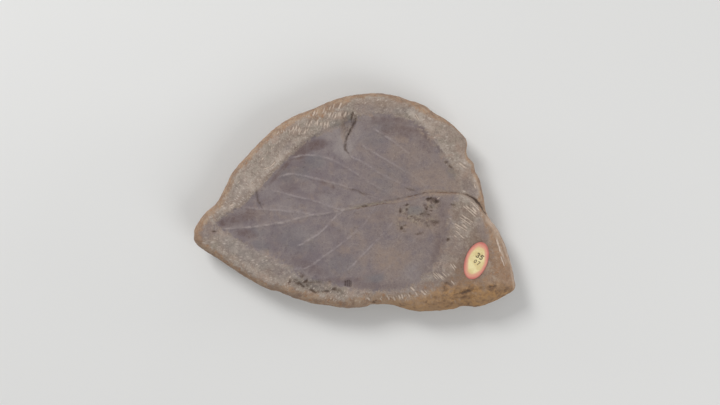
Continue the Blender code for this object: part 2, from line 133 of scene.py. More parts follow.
def path_offset(x, y, path):
    """How far each point lies from a path, positive on the path's left, and how far along, from 0 to 1, the
    nearest point of the path is. Each straight stretch gives one such point, and the nearest counts."""
    steps = np.diff(path, axis=0)
    lengths = np.hypot(steps[:, 0], steps[:, 1])
    total = lengths.sum()
    gap = np.full(x.shape, 1e9)
    side = np.ones(x.shape)
    along = np.zeros(x.shape)
    done = 0.0
    for (ax, ay), (dx, dy), length in zip(path, steps, lengths):
        t = np.clip(((x - ax) * dx + (y - ay) * dy) / length**2, 0, 1)
        foot_x = x - ax - t * dx
        foot_y = y - ay - t * dy
        here = np.hypot(foot_x, foot_y)
        nearer = here < gap
        gap = np.where(nearer, here, gap)
        side = np.where(nearer, np.where(dx * foot_y - dy * foot_x < 0, -1.0, 1.0), side)
        along = np.where(nearer, (done + t * length) / total, along)
        done += length
    return gap * side, along


def polar(x, y):
    """The bearing and the distance of a point from the hub."""
    return np.arctan2(y - HUB[1], x - HUB[0]), np.hypot(x - HUB[0], y - HUB[1])


class Outline:
    """A closed outline that goes once round the hub."""

    def __init__(self, loop):
        bearing, radius = polar(loop[:, 0], loop[:, 1])
        order = np.argsort(bearing)
        self.path = np.vstack([loop, loop[:1]])
        self.bearings = bearing[order]
        self.radii = radius[order]

    def reach(self, bearing):
        """How far the outline lies from the hub along a bearing."""
        return np.interp(bearing, self.bearings, self.radii, period=2 * math.pi)

    def inset(self, x, y):
        """How far inside the outline a point lies, to the nearest stretch of it, and minus outside it."""
        bearing, radius = polar(x, y)
        nearest = np.abs(path_offset(x, y, self.path)[0])
        return np.where(radius < self.reach(bearing), nearest, -nearest)


def softened(outline, spread_deg):
    """The same outline with its corners and notches rounded away: its reach is a bell-weighted mean."""
    bearings = np.radians(np.arange(-180, 180, 2))
    away = np.angle(np.exp(1j * (bearings[:, None] - bearings)))
    weight = np.exp(-((away / math.radians(spread_deg)) ** 2))
    radii = weight @ outline.reach(bearings) / weight.sum(axis=1)
    return Outline(HUB + np.stack([radii * np.cos(bearings), radii * np.sin(bearings)], axis=1))


STONE_EDGE = Outline(smooth_loop(OUTLINE))
SOFT_EDGE = softened(STONE_EDGE, BACK_SOFTENING)
LEAF_EDGE = Outline(smooth_loop(LEAF))


def smooth_step(low, high, value):
    """Nothing up to low, one from high on, and a smooth rise between."""
    t = np.clip((value - low) / (high - low), 0, 1)
    return t * t * (3 - 2 * t)


def hill(x, y, middle, spread):
    """A round hill one unit high, which fades over spread in x and y."""
    return np.exp(-(((x - middle[0]) / spread[0]) ** 2) - ((y - middle[1]) / spread[1]) ** 2)


def bearing_bump(bearing, middle_deg, spread_deg):
    """One at a bearing, fading to nothing on both sides of it."""
    away = np.angle(np.exp(1j * (bearing - math.radians(middle_deg))))
    return np.exp(-((away / math.radians(spread_deg)) ** 2))


def spread_sum(bearing, spreads):
    """What all the spreads add at a bearing: each has its middle and its spread in degrees, and its most."""
    return sum(most * bearing_bump(bearing, middle, spread) for middle, spread, most in spreads)


def girdle_height(bearing):
    """The height of the widest outline: lower at the lower right corner, with slow waves round the edge."""
    waves = sum(height * np.sin(count * bearing + phase) for count, height, phase in EDGE_WAVES)
    return GIRDLE_HEIGHT + waves - LOW_CORNER_DROP * bearing_bump(bearing, *LOW_CORNER)


def rounded(share, roundness):
    """A quarter of a rounded edge: upright at 0 and level from 1 on, squarer with more roundness."""
    return (1 - (1 - np.clip(share, 0, 1)) ** roundness) ** (1 / roundness)


def face_height(x, y, edge, in_leaf):
    """The height of the leaf's side of the stone, by how far inside the stone and the leaf a point is."""
    bearing, radius = polar(x, y)
    crown = LEAF_CROWN * (1 - np.clip(radius / LEAF_EDGE.reach(bearing), 0, 1) ** 2)
    step_height = MARGIN_STEP * (STEP_AT_ITS_LOWEST + STEP_RISE * bearing_bump(bearing, *STEP_HIGH_SIDE))
    step = step_height * smooth_step(-STEP_FOOT, STEP_TOP, -in_leaf)
    lobes = sum(height * hill(x, y, middle, spread) for middle, spread, height in FACE_LOBES)
    wave_x = np.sin(x / FACE_WAVE_LENGTHS[0] + FACE_WAVE_PHASES[0])
    wave_y = np.sin(y / FACE_WAVE_LENGTHS[1] + FACE_WAVE_PHASES[1])
    inner = FACE_HEIGHT + crown + step + lobes + FACE_WAVE_HEIGHT * wave_x * wave_y
    width = BEVEL_WIDTH + spread_sum(bearing, BEVEL_SPREADS)
    low = girdle_height(bearing)
    return low + (inner - low) * rounded(edge / width, BEVEL_ROUNDNESS)


def round_grid(side):
    """A square grid pushed out onto a round disk: each square ring becomes a circle, evenly divided. It gives
    each point's turn (0 to 1 round) and share (0 in the middle, 1 on the rim), the quads and the rim."""
    line = np.linspace(-1, 1, side + 1)
    a, b = (part.ravel() for part in np.meshgrid(line, line, indexing="ij"))
    wide = np.abs(a) > np.abs(b)
    big = np.where(wide, a, b)
    ratio = np.where(wide, b, a) / np.where(big == 0, 1, big)
    eighth = np.where(wide, ratio / 8, 0.25 - ratio / 8)
    turn = (eighth + np.where(big < 0, 0.5, 0)) % 1
    share = np.abs(big)
    k = np.arange((side + 1) ** 2).reshape(side + 1, side + 1)
    quads = np.stack([k[:-1, :-1], k[1:, :-1], k[1:, 1:], k[:-1, 1:]], axis=-1).reshape(-1, 4)
    rim = np.flatnonzero(share > 1 - 1e-9)
    return turn, share, quads, rim[np.argsort(turn[rim])]


def even_bearing(turn):
    """The bearing at a share of the way round the softened outline: equal shares are equally long."""
    around = np.stack([np.cos(SOFT_EDGE.bearings), np.sin(SOFT_EDGE.bearings)], axis=1)
    loop = SOFT_EDGE.radii[:, None] * around
    lengths = np.hypot(*(np.roll(loop, -1, 0) - loop).T)
    shares = np.concatenate([[0], np.cumsum(lengths)]) / lengths.sum()
    return np.interp(turn, shares, np.append(SOFT_EDGE.bearings, SOFT_EDGE.bearings[0] + 2 * math.pi))


def lattice_noise(points, cell, seed):
    """Smooth random bumps from -1 to 1: random values at the corners of cubes, eased between them."""
    lattice = np.random.default_rng(seed).uniform(-1, 1, (32, 32, 32))
    scaled = points / cell
    base = np.floor(scaled).astype(int)
    ease = scaled - base
    ease = ease * ease * (3 - 2 * ease)
    total = np.zeros(len(points))
    for corner in np.ndindex(2, 2, 2):
        at = (base + corner) % 32
        weight = np.where(corner, ease, 1 - ease).prod(axis=1)
        total += weight * lattice[at[:, 0], at[:, 1], at[:, 2]]
    return total


def rough(points, cell, seed, octaves=3):
    """Bumps on bumps: each layer is half as wide and about half as high as the one before."""
    layers = [lattice_noise(points, cell / 2**k, seed + k) * 0.55**k for k in range(octaves)]
    return sum(layers) / sum(0.55**k for k in range(octaves))


# The mesh: a fine disk for the face, rows of points down the bevel and the back, and a coarser disk below
FACE_GRID = 240
BASE_GRID = 120
SHOULDER_INSET = 2.3
BEVEL_INSETS = (1.75, 1.3, 0.95, 0.65, 0.42, 0.25, 0.12, 0.04, 0.0)
BACK_SHARES_FINE = (0.006, 0.025, 0.055, 0.095, 0.145, 0.205, 0.275)
BACK_SHARES_COARSE = (0.35, 0.43, 0.51, 0.59, 0.67, 0.75, 0.83, 0.91)

face_turn, face_share, face_quads, face_rim = round_grid(FACE_GRID)
row_turn = np.arange(4 * FACE_GRID) / (4 * FACE_GRID)


def slant(bearing):
    """How far it is along a bearing for each millimetre straight in from the softened outline."""
    turn = 0.06
    here = SOFT_EDGE.reach(bearing)
    slope = (SOFT_EDGE.reach(bearing + turn) - SOFT_EDGE.reach(bearing - turn)) / (2 * turn)
    return np.hypot(here, slope) / here


def top_plan(turn, share, inset):
    """The x and y of points on the face's side: share of the way out to the outline less an inset from it."""
    bearing = even_bearing(turn)
    radius = share * (STONE_EDGE.reach(bearing) - inset * slant(bearing))
    return HUB + radius[:, None] * np.stack([np.cos(bearing), np.sin(bearing)], axis=1)


def back_points(turn, share):
    """Points of the back: share is 0 at the widest outline and 1 at the rim of the flat, with the corners and
    notches of the outline fading on the way, and the height falling along a rounded curve."""
    bearing = even_bearing(turn)
    sharp = STONE_EDGE.reach(bearing)
    soft = SOFT_EDGE.reach(bearing)
    outer = soft + (sharp - soft) * (1 - share) ** 3
    radius = outer + (BASE_SHARE * soft - outer) * share
    swell = sum(height * np.sin(count * bearing + phase) for count, height, phase in BACK_SWELLS)
    height = girdle_height(bearing) * (1 - rounded(share, BACK_ROUNDNESS)) + swell * share * (1 - share) ** 2
    return np.stack([HUB[0] + radius * np.cos(bearing), HUB[1] + radius * np.sin(bearing), height], axis=1)


plans = [top_plan(face_turn, face_share, SHOULDER_INSET)]
plans += [top_plan(row_turn, 1.0, inset) for inset in BEVEL_INSETS]
top_x, top_y = np.vstack(plans).T
edge = STONE_EDGE.inset(top_x, top_y)
edge[-len(row_turn):] = 0
in_leaf = LEAF_EDGE.inset(top_x, top_y)
top_bearing = polar(top_x, top_y)[0]
flat_points = np.stack([top_x, top_y, np.full(top_x.shape, FACE_HEIGHT)], axis=1)

# The leaf's midrib is one line from the tip to the stalk: a thin raised vein as far as the fork, then a worn
# groove filled with earth, and past the leaf an open crack that curves off the right side
RIB = [
    (-55.0, -11.2), (-42.0, -10.2), (-30.0, -8.4), (-22.0, -6.2), (-14.0, -5.0), (-5.0, -3.4), (0.0, -2.5),
    (8.0, -1.0), (17.0, 0.8), (25.0, 2.5), (33.0, 4.2), (40.0, 4.2), (45.0, 4.0), (48.5, 3.4), (50.6, 2.2),
    (52.6, 0.6), (54.2, -1.1), (55.6, -3.2), (56.7, -4.7),
]
# The side veins: the points of each, and how well it shows at the midrib and at its outer end
SIDE_VEINS = [
    (
        [(-17.0, -5.4), (-24.0, -4.2), (-32.0, -3.4), (-41.0, -2.8), (-48.0, -2.0)],
        0.7,
        0.5,
    ),
    (
        [(-4.0, -3.2), (-10.0, -2.0), (-17.0, 0.7), (-24.0, 2.3), (-30.0, 3.9), (-36.0, 5.2)],
        0.6,
        0.7,
    ),
    (
        [(13.0, 0.4), (5.0, 3.4), (-4.0, 7.0), (-13.0, 9.4), (-22.0, 11.5), (-28.5, 12.3), (-34.0, 10.2)],
        0.25,
        1.0,
    ),
    (
        [(20.0, 2.0), (9.0, 7.2), (0.0, 13.0), (-7.0, 17.2), (-13.0, 19.5), (-21.0, 20.5), (-28.0, 19.0)],
        0.2,
        1.0,
    ),
    (
        [(28.0, 3.4), (20.0, 8.0), (11.0, 12.6), (5.0, 16.6), (-3.0, 20.4)],
        0.2,
        0.7,
    ),
    (
        [(32.0, 6.0), (24.0, 12.0), (15.0, 17.6), (9.0, 21.2), (2.6, 25.2)],
        0.15,
        0.9,
    ),
    (
        [(34.0, 12.0), (27.0, 18.0), (18.0, 25.2), (12.0, 29.6), (7.2, 32.2)],
        0.0,
        1.0,
    ),
    (
        [(-5.0, -3.4), (-9.0, -7.0), (-13.0, -11.4), (-18.0, -15.2), (-25.0, -19.2)],
        0.8,
        1.0,
    ),
    (
        [(9.0, -1.2), (5.4, -7.8), (-0.4, -13.6), (-8.0, -19.6), (-15.0, -24.4), (-20.0, -28.0),
         (-27.0, -28.8)],
        0.4,
        0.9,
    ),
    (
        [(20.0, 1.0), (16.5, -8.5), (10.2, -15.8), (4.0, -22.0), (-0.5, -26.8), (-4.5, -30.4)],
        0.3,
        0.9,
    ),
    (
        [(31.0, 2.5), (30.0, -9.0), (25.0, -17.5), (17.0, -26.0), (9.0, -33.0)],
        0.12,
        0.25,
    ),
]
VEIN_HEIGHT = 0.26
VEIN_SPREAD = 0.5
GROOVE_DEPTH = 0.5
GROOVE_SPREAD = 0.55
CRACK_DEPTH = 0.65
CRACK_HALF_WIDTH = 0.35

rib_offset = path_offset(top_x, top_y, smooth_path(RIB, 2.5))[0]
is_groove = smooth_step(-3.0, 2.0, top_x)
is_crack = smooth_step(46.0, 51.0, top_x)
rib_gap = np.abs(rib_offset)
rib_width = 0.7 + 0.3 * smooth_step(-55, 0, top_x)
relief = VEIN_HEIGHT * rib_width * (1 - is_groove) * np.exp(-((rib_gap / VEIN_SPREAD) ** 2))
relief -= GROOVE_DEPTH * is_groove * (1 - is_crack) * np.exp(-((rib_gap / GROOVE_SPREAD) ** 2))
relief -= CRACK_DEPTH * is_crack * smooth_step(CRACK_HALF_WIDTH + 0.4, CRACK_HALF_WIDTH - 0.4, rib_gap)

side_offset = np.full(top_x.shape, 50.0)
side_fade = np.zeros(top_x.shape)
for points, at_midrib, at_end in SIDE_VEINS:
    offset, along = path_offset(top_x, top_y, smooth_path(points, 3.0))
    nearer = np.abs(offset) < np.abs(side_offset)
    side_offset = np.where(nearer, offset, side_offset)
    strength = (at_midrib + (at_end - at_midrib) * along**1.5) * smooth_step(1.0, 0.94, along)
    side_fade = np.where(nearer, strength, side_fade)
side_height = VEIN_HEIGHT * (0.35 + 0.65 * side_fade) * smooth_step(0, 1.5, in_leaf)
relief += side_height * np.exp(-((side_offset / VEIN_SPREAD) ** 2))

# Slits in the face: a path down the middle of each, half of its width, its depth, and how dark it is, which
# is partly painted shade down in it
SLITS = [
    ([(0.6, 36.8), (0.4, 35.4), (0.2, 34.2), (-0.8, 32.8), (-1.6, 31.2), (-2.5, 29.6), (-3.0, 28.4),
      (-3.6, 27.0)], 0.26, 0.4, 0.7),
    ([(-2.0, 30.4), (-2.9, 28.6), (-3.6, 27.0), (-4.1, 25.4), (-4.0, 24.2), (-3.5, 22.8), (-2.6, 21.2)],
     0.35, 0.42, 0.72),
    ([(0.5, 35.0), (0.1, 34.2), (-0.5, 33.4)], 0.5, 0.4, 0.75),
    ([(-1.5, 31.2), (-1.9, 30.4)], 0.42, 0.35, 0.8),
    ([(-2.5, 29.9), (-2.7, 28.9)], 0.42, 0.15, 0.8),
    ([(-0.7, 38.8), (-0.9, 37.4), (-1.3, 35.6)], 0.28, 0.5, 1.0),
    ([(-42.2, 5.4), (-42.1, 2.6), (-41.0, 0.0), (-39.8, -2.2)], 0.2, 0.3, 0.6),
    ([(-0.8, 5.5), (2.0, 4.7), (3.6, 3.9), (6.2, 3.2)], 0.18, 0.2, 0.6),
    ([(22.8, 6.2), (24.4, 5.4), (26.4, 4.6)], 0.28, 0.2, 0.5),
    # The next three slits, along the top of the brown bank at the lower right, are a dark line of painted
    # shadow at the bank's upper edge
    ([(45.8, -39.0), (47.6, -38.6), (50.0, -37.9)], 0.85, 0.42, 0.85),
    ([(50.4, -37.8), (53.5, -37.3), (56.5, -36.8)], 0.24, 0.25, 0.3),
    ([(57.6, -36.5), (59.2, -36.2), (60.8, -35.9)], 0.42, 0.3, 0.8),
    ([(-26.5, 28.7), (-23.0, 28.9), (-20.0, 29.4), (-17.0, 29.3)], 0.14, 0.1, 0.3),
    ([(38.4, -37.6), (38.8, -36.2), (39.7, -34.6)], 0.24, 0.2, 0.5),
    ([(39.7, -34.6), (41.8, -35.4)], 0.22, 0.16, 0.45),
    ([(39.9, -38.4), (40.0, -36.8)], 0.2, 0.14, 0.4),
    ([(35.0, 25.4), (37.4, 22.0), (38.6, 20.4)], 0.2, 0.1, 0.25),
    ([(-4.4, 34.6), (-4.5, 32.0), (-4.1, 28.5)], 0.26, 0.1, 0.1),
]
SLIT_RAGGED_CELL = 1.5
slit_offset = np.full(top_x.shape, 9.0)
slit_half = np.zeros(top_x.shape)
slit_dark = np.zeros(top_x.shape)
for points, half_width, depth, darkness in SLITS:
    offset, along = path_offset(top_x, top_y, smooth_path(points, 1.0))
    ragged = 1 + 0.65 * lattice_noise(flat_points, SLIT_RAGGED_CELL, 11)
    half = half_width * ragged * np.sin(np.pi * (0.1 + 0.82 * along))
    offset = offset + 0.22 * lattice_noise(flat_points, SLIT_RAGGED_CELL, 12)
    relief -= depth * smooth_step(half + 0.5, half - 0.2, np.abs(offset)) * smooth_step(0, 0.15, half)
    nearer = np.abs(offset) - half < np.abs(slit_offset) - slit_half
    slit_offset = np.where(nearer, offset, slit_offset)
    slit_half = np.where(nearer, half, slit_half)
    slit_dark = np.where(nearer, darkness, slit_dark)

# Weathered pits: x, y, half length, half width, turn in degrees and depth
PITS = [
    (31.9, 1.3, 1.1, 0.55, 5, 0.7), (34.0, 1.1, 1.7, 0.9, -8, 0.22), (35.8, 0.4, 0.8, 0.45, 8, 0.65),
    (33.1, 2.0, 0.7, 0.35, 75, 0.5), (3.8, -1.7, 0.5, 0.35, 10, 0.35), (5.1, -1.4, 0.55, 0.35, 10, 0.35),
    (19.8, -3.6, 1.1, 0.42, 86, 0.6), (22.4, -1.0, 0.9, 0.4, 10, 0.4), (20.3, -11.0, 0.5, 0.45, 60, 0.5),
    (21.6, -10.2, 0.6, 0.3, 30, 0.25), (21.4, -12.3, 0.8, 0.3, 0, 0.25), (31.1, -2.9, 0.8, 0.35, 85, 0.45),
    (22.6, -3.1, 0.7, 0.4, 80, 0.26), (23.1, -6.8, 0.4, 0.3, 60, 0.35), (27.5, -13.8, 0.7, 0.45, 0, 0.22),
    (31.4, -10.4, 0.8, 0.45, 10, 0.25), (34.4, -8.6, 1.3, 0.5, 5, 0.2), (33.0, -1.7, 0.7, 0.35, -40, 0.3),
    (29.8, -1.0, 0.5, 0.35, 0, 0.25), (28.6, -4.9, 0.7, 0.35, 30, 0.25), (32.0, -5.2, 0.8, 0.3, -30, 0.25),
    (32.9, -3.6, 0.6, 0.3, -40, 0.2), (30.8, -3.9, 0.5, 0.3, 20, 0.2), (31.9, -7.2, 0.6, 0.3, 30, 0.2),
    (27.2, -6.6, 0.5, 0.3, 0, 0.2), (34.6, -9.6, 0.6, 0.35, -20, 0.2), (25.6, -8.4, 0.5, 0.3, 50, 0.18),
    (24.4, -6.0, 0.6, 0.3, 10, 0.3), (40.2, -15.8, 0.8, 0.55, 35, 0.35), (39.7, 17.4, 0.7, 0.45, 25, 0.35),
    (41.4, 15.7, 1.6, 0.4, -50, 0.38), (30.5, -1.1, 0.5, 0.35, 0, 0.26), (31.6, -2.0, 0.4, 0.3, 0, 0.26),
    (30.2, -5.1, 0.45, 0.3, 0, 0.28), (31.3, -6.4, 0.6, 0.35, 0, 0.24), (33.8, -7.7, 0.5, 0.35, 40, 0.22),
    (36.0, -8.8, 0.6, 0.4, 0, 0.24), (28.6, -13.0, 0.6, 0.35, 0, 0.2), (39.7, -34.6, 0.9, 0.55, 20, 0.32),
    (-27.8, -34.0, 0.9, 0.6, 70, 0.4), (-25.6, -33.4, 0.8, 0.5, 0, 0.3), (-23.4, -35.3, 1.9, 0.6, -27, 0.5),
    (-21.0, -34.0, 0.9, 0.65, 30, 0.5), (-22.7, -31.7, 1.2, 0.5, 0, 0.22), (-20.3, -35.6, 0.7, 0.5, 0, 0.3),
    (-18.2, -34.5, 1.1, 0.55, 0, 0.35), (-15.2, -34.3, 1.0, 0.5, 0, 0.22), (-10.6, -34.4, 0.7, 0.5, 0, 0.28),
    (-18.0, -38.0, 1.6, 0.55, -25, 0.42), (-16.0, -38.5, 0.9, 0.45, 0, 0.25),
    (-12.6, -38.2, 1.6, 0.5, 3, 0.38), (-8.8, -37.3, 1.0, 0.55, 10, 0.5), (-6.7, -37.7, 0.9, 0.5, 0, 0.28),
    (-5.2, -39.3, 1.2, 0.5, -20, 0.25), (-60.0, -12.5, 1.0, 0.4, 0, 0.35), (-13.4, -25.4, 0.4, 0.3, 0, 0.2),
    (-21.9, 15.1, 0.4, 0.3, 0, 0.22), (8.6, -43.0, 1.2, 0.6, 30, 0.3), (42.5, -0.9, 1.1, 0.6, 20, 0.22),
]
# Below the leaf a few short notches stand side by side: the left, right, top and foot of their row
NOTCHES = (-4.5, -1.3, -33.5, -36.2)
NOTCH_STEP = 0.82
NOTCH_DEPTH = 0.3


def oval_share(x, y, middle_x, middle_y, half_length, half_width, turn_deg):
    """Nothing in the middle of an oval, one on its rim and more outside: both axes are scaled to one."""
    turn = math.radians(turn_deg)
    along = (x - middle_x) * math.cos(turn) + (y - middle_y) * math.sin(turn)
    across = (y - middle_y) * math.cos(turn) - (x - middle_x) * math.sin(turn)
    return np.hypot(along / half_length, across / half_width)


pushed_x = top_x + 0.32 * lattice_noise(flat_points, 1.3, 17)
pushed_y = top_y + 0.32 * lattice_noise(flat_points, 1.3, 18)
pit = np.zeros(top_x.shape)
for x, y, half_length, half_width, turn_deg, depth in PITS:
    from_middle = oval_share(pushed_x, pushed_y, x, y, half_length, half_width, turn_deg)
    relief -= depth * smooth_step(1.5, 0.5, from_middle)
    # Deeper pits get more of the dark colour: painted shade, darker the deeper the pit
    pit = np.maximum(pit, (0.5 + 0.5 * smooth_step(0.1, 0.6, depth)) * np.clip(1 - from_middle / 2, 0, 1))
notch_left, notch_right, notch_top, notch_foot = NOTCHES
notches = smooth_step(notch_left - 0.3, notch_left + 0.2, top_x)
notches *= smooth_step(notch_right + 0.3, notch_right - 0.2, top_x)
notches *= smooth_step(notch_foot - 0.5, notch_foot + 0.4, pushed_y)
notches *= smooth_step(notch_top + 0.4, notch_top - 0.4, pushed_y)
relief -= NOTCH_DEPTH * notches

# The preparer's tool marks: both ends of each stroke that shows by itself
STROKES = [
    (46.9, -1.5, 52.2, -6.1), (48.9, -2.0, 52.8, -5.2), (51.2, -0.7, 54.0, -3.5), (49.9, 0.5, 51.7, -0.8),
    (46.2, -5.2, 48.2, -7.0), (45.4, -6.3, 50.2, -9.6), (47.6, -6.2, 51.0, -8.6), (46.0, -7.6, 47.6, -8.8),
    (43.2, -8.9, 48.4, -12.2), (43.4, -10.2, 45.4, -11.6), (43.4, -12.0, 45.0, -13.3),
    (45.0, -13.6, 47.0, -15.4), (42.8, -14.0, 44.0, -15.0), (33.8, -30.2, 36.4, -32.6),
    (34.8, -30.0, 38.2, -33.2), (35.9, -30.4, 38.8, -32.8), (34.0, -31.4, 35.8, -33.2),
    (37.6, -30.0, 39.6, -31.8), (41.2, -26.2, 43.2, -29.0), (42.4, -26.4, 43.8, -28.2),
    (41.6, -33.6, 43.0, -35.2), (30.2, -37.8, 31.2, -39.0), (15.8, -40.4, 16.6, -41.8),
    (26.2, -38.6, 27.2, -40.2), (11.0, -41.2, 11.8, -42.4), (-50.2, 8.4, -49.3, 9.3),
    (-44.5, 8.2, -43.5, 8.9), (-40.0, 18.2, -39.0, 19.4), (-33.5, 29.2, -32.5, 30.8),
    # The stroke from (35.7, 1.5) on the next line is a painted highlight at the right end of the hole beside
    # it
    (26.2, 38.2, 27.8, 35.6), (51.6, 8.2, 52.2, 6.0), (35.7, 1.5, 36.8, 2.2), (-39.0, 14.5, -36.5, 15.2),
    (-36.3, 15.2, -33.8, 17.8), (-36.8, 12.4, -35.6, 13.0), (-29.6, 38.0, -28.8, 36.4),
    (63.2, -23.0, 64.8, -27.5),
]
# The broadest and palest strokes
BROAD_STROKES = [
    (-6.9, 40.2, -5.6, 43.0), (-17.9, 37.2, -17.0, 39.6), (-12.8, 37.6, -12.3, 39.4),
    (-11.0, 36.8, -10.2, 38.8), (-8.5, 36.2, -7.8, 38.2), (-6.2, 37.0, -5.8, 39.2), (-4.4, 36.9, -3.6, 39.2),
    (-18.9, 33.8, -18.2, 35.6), (-16.4, 33.6, -15.6, 35.8), (-14.6, 33.0, -14.2, 34.8),
    (-13.2, 32.4, -12.4, 34.6), (-11.8, 32.8, -11.2, 35.0), (-26.6, 31.0, -26.0, 32.8),
    (-25.4, 31.2, -24.8, 33.2), (-21.6, 29.6, -20.8, 31.6), (5.4, -40.8, 6.8, -42.4),
    (14.2, -40.4, 15.2, -42.2), (16.6, -40.6, 17.6, -42.6), (19.0, -39.8, 19.8, -41.8),
    (20.2, -39.4, 21.0, -41.6), (24.2, -36.4, 25.9, -38.0), (28.6, -37.9, 30.9, -39.9),
    # The broad stroke from (45.0, 17.2) on the next line is a painted highlight
    (23.0, -39.2, 24.0, -40.6), (45.0, 17.2, 48.0, 14.9), (48.1, -1.4, 49.6, -2.9), (50.6, -2.0, 52.6, -4.1),
    (43.2, -9.1, 45.6, -10.5), (46.2, -9.3, 48.5, -11.1), (-57.4, -1.8, -56.2, -1.2),
    (-53.6, -1.5, -52.0, -0.7), (61.4, -15.8, 63.2, -21.4),
]
BROAD_HALF_WIDTH = 0.46
# Rows of like strokes: the middles of the first and last, how many, length, bearing and half width
STROKE_ROWS = [
    ((-13.0, 37.6), (-2.6, 38.4), 7, 2.2, 74, 0.34),
    ((-20.5, 33.8), (-11.2, 33.6), 7, 2.0, 76, 0.34),
    ((-28.0, 30.6), (-20.0, 31.6), 7, 1.9, 70, 0.34),
    ((-16.0, 39.0), (-8.0, 41.4), 4, 2.4, 72, 0.36),
    ((-41.0, 17.5), (-33.0, 26.0), 7, 1.3, 60, 0.34),
]
STROKE_HALF_WIDTH = 0.3
STROKE_DEPTH = 0.14
STROKE_SETS = 3

draw = np.random.default_rng(5)
strokes = [(*ends, 1.0, STROKE_HALF_WIDTH) for ends in STROKES]
strokes += [(*ends, 1.05, BROAD_HALF_WIDTH) for ends in BROAD_STROKES]
for start, end, count, length, bearing_deg, half_width in STROKE_ROWS:
    share = (np.arange(count) + draw.uniform(-0.3, 0.3, count)) / (count - 1)
    middle_x = start[0] + (end[0] - start[0]) * share + draw.uniform(-0.3, 0.3, count)
    middle_y = start[1] + (end[1] - start[1]) * share + draw.uniform(-0.5, 0.5, count)
    bearing = np.radians(bearing_deg + draw.uniform(-7, 7, count))
    half = length / 2 * draw.uniform(0.6, 1.15, count)
    ends = [middle_x - half * np.cos(bearing), middle_y - half * np.sin(bearing)]
    ends += [middle_x + half * np.cos(bearing), middle_y + half * np.sin(bearing)]
    strokes += list(zip(*ends, draw.uniform(0.6, 1.0, count), np.full(count, half_width)))

# Each set keeps the offset from its nearest stroke, scaled to one width, and how strong that stroke is
stroke_offsets = [np.full(top_x.shape, 9.0) for number in range(STROKE_SETS)]
stroke_shares = [np.zeros(top_x.shape) for number in range(STROKE_SETS)]
members = [[] for number in range(STROKE_SETS)]
for ax, ay, bx, by, strength, half_width in strokes:
    middle = np.array(((ax + bx) / 2, (ay + by) / 2))
    room = [min([np.hypot(*(middle - other)) for other in group], default=99) for group in members]
    chosen = int(np.argmax(room))
    members[chosen].append(middle)
    offset = path_offset(top_x, top_y, np.array([(ax, ay), (bx, by)]))[0]
    length = math.hypot(bx - ax, by - ay)
    along = ((top_x - middle[0]) * (bx - ax) + (top_y - middle[1]) * (by - ay)) / length
    past_end = np.abs(along) - length / 2
    share = strength * smooth_step(0.3, -0.6, past_end) * smooth_step(1.3, 0.8, np.abs(offset))
    scaled_offset = offset * STROKE_HALF_WIDTH / half_width
    nearer = np.abs(scaled_offset) < np.abs(stroke_offsets[chosen])
    stroke_offsets[chosen] = np.where(nearer, scaled_offset, stroke_offsets[chosen])
    stroke_shares[chosen] = np.where(nearer, share, stroke_shares[chosen])
for offset, share in zip(stroke_offsets, stroke_shares):
    relief -= STROKE_DEPTH * share * smooth_step(STROKE_HALF_WIDTH + 0.35, 0.0, np.abs(offset))

# What colours the surface, each worked out at every point from 0 to 1
# How far inside the leaf's film it is, over how soft the film's edge is there: crisp on the upper left
wander = 1.3 * rough(flat_points, 6.0, 21, 4)
FILM_EDGE = 2.3
FILM_CRISPER = 1.9
CRISP_SIDE = (158, 38)
softness = FILM_EDGE - FILM_CRISPER * bearing_bump(top_bearing, *CRISP_SIDE)
leaf_level = np.clip((in_leaf + wander * softness / FILM_EDGE - 0.2) / softness, -2, 2)
leaf_share = smooth_step(-1.0, 1.0, leaf_level)
# How deep in the ochre rind that weathering left along the outline it is: its width, and where it is wider
RIND_WIDTH = 2.0
RIND_SPREADS = (
    (186, 14, 1.1), (165, 12, 0.4), (128, 22, 0.9), (100, 12, 3.2), (215, 20, 0.6), (248, 16, 2.8),
    (-37, 16, 8.5), (-75, 22, 2.4), (-12, 12, 1.4), (-24, 8, 4.6), (50, 12, 1.2), (30, 9, -1.6),
)
rind_width = RIND_WIDTH + spread_sum(top_bearing, RIND_SPREADS)
rind_level = np.clip(edge / rind_width + 0.45 * rough(flat_points, 6.0, 31, 4), 0, 3)
# The brown bank at the lower right
BANK_OVAL = (48, -46, 34, 10, 4)
bank_edge = 0.2 * rough(flat_points, 7.0, 37)
bank_share = smooth_step(1.3, 0.7, oval_share(top_x, top_y, *BANK_OVAL) + bank_edge)
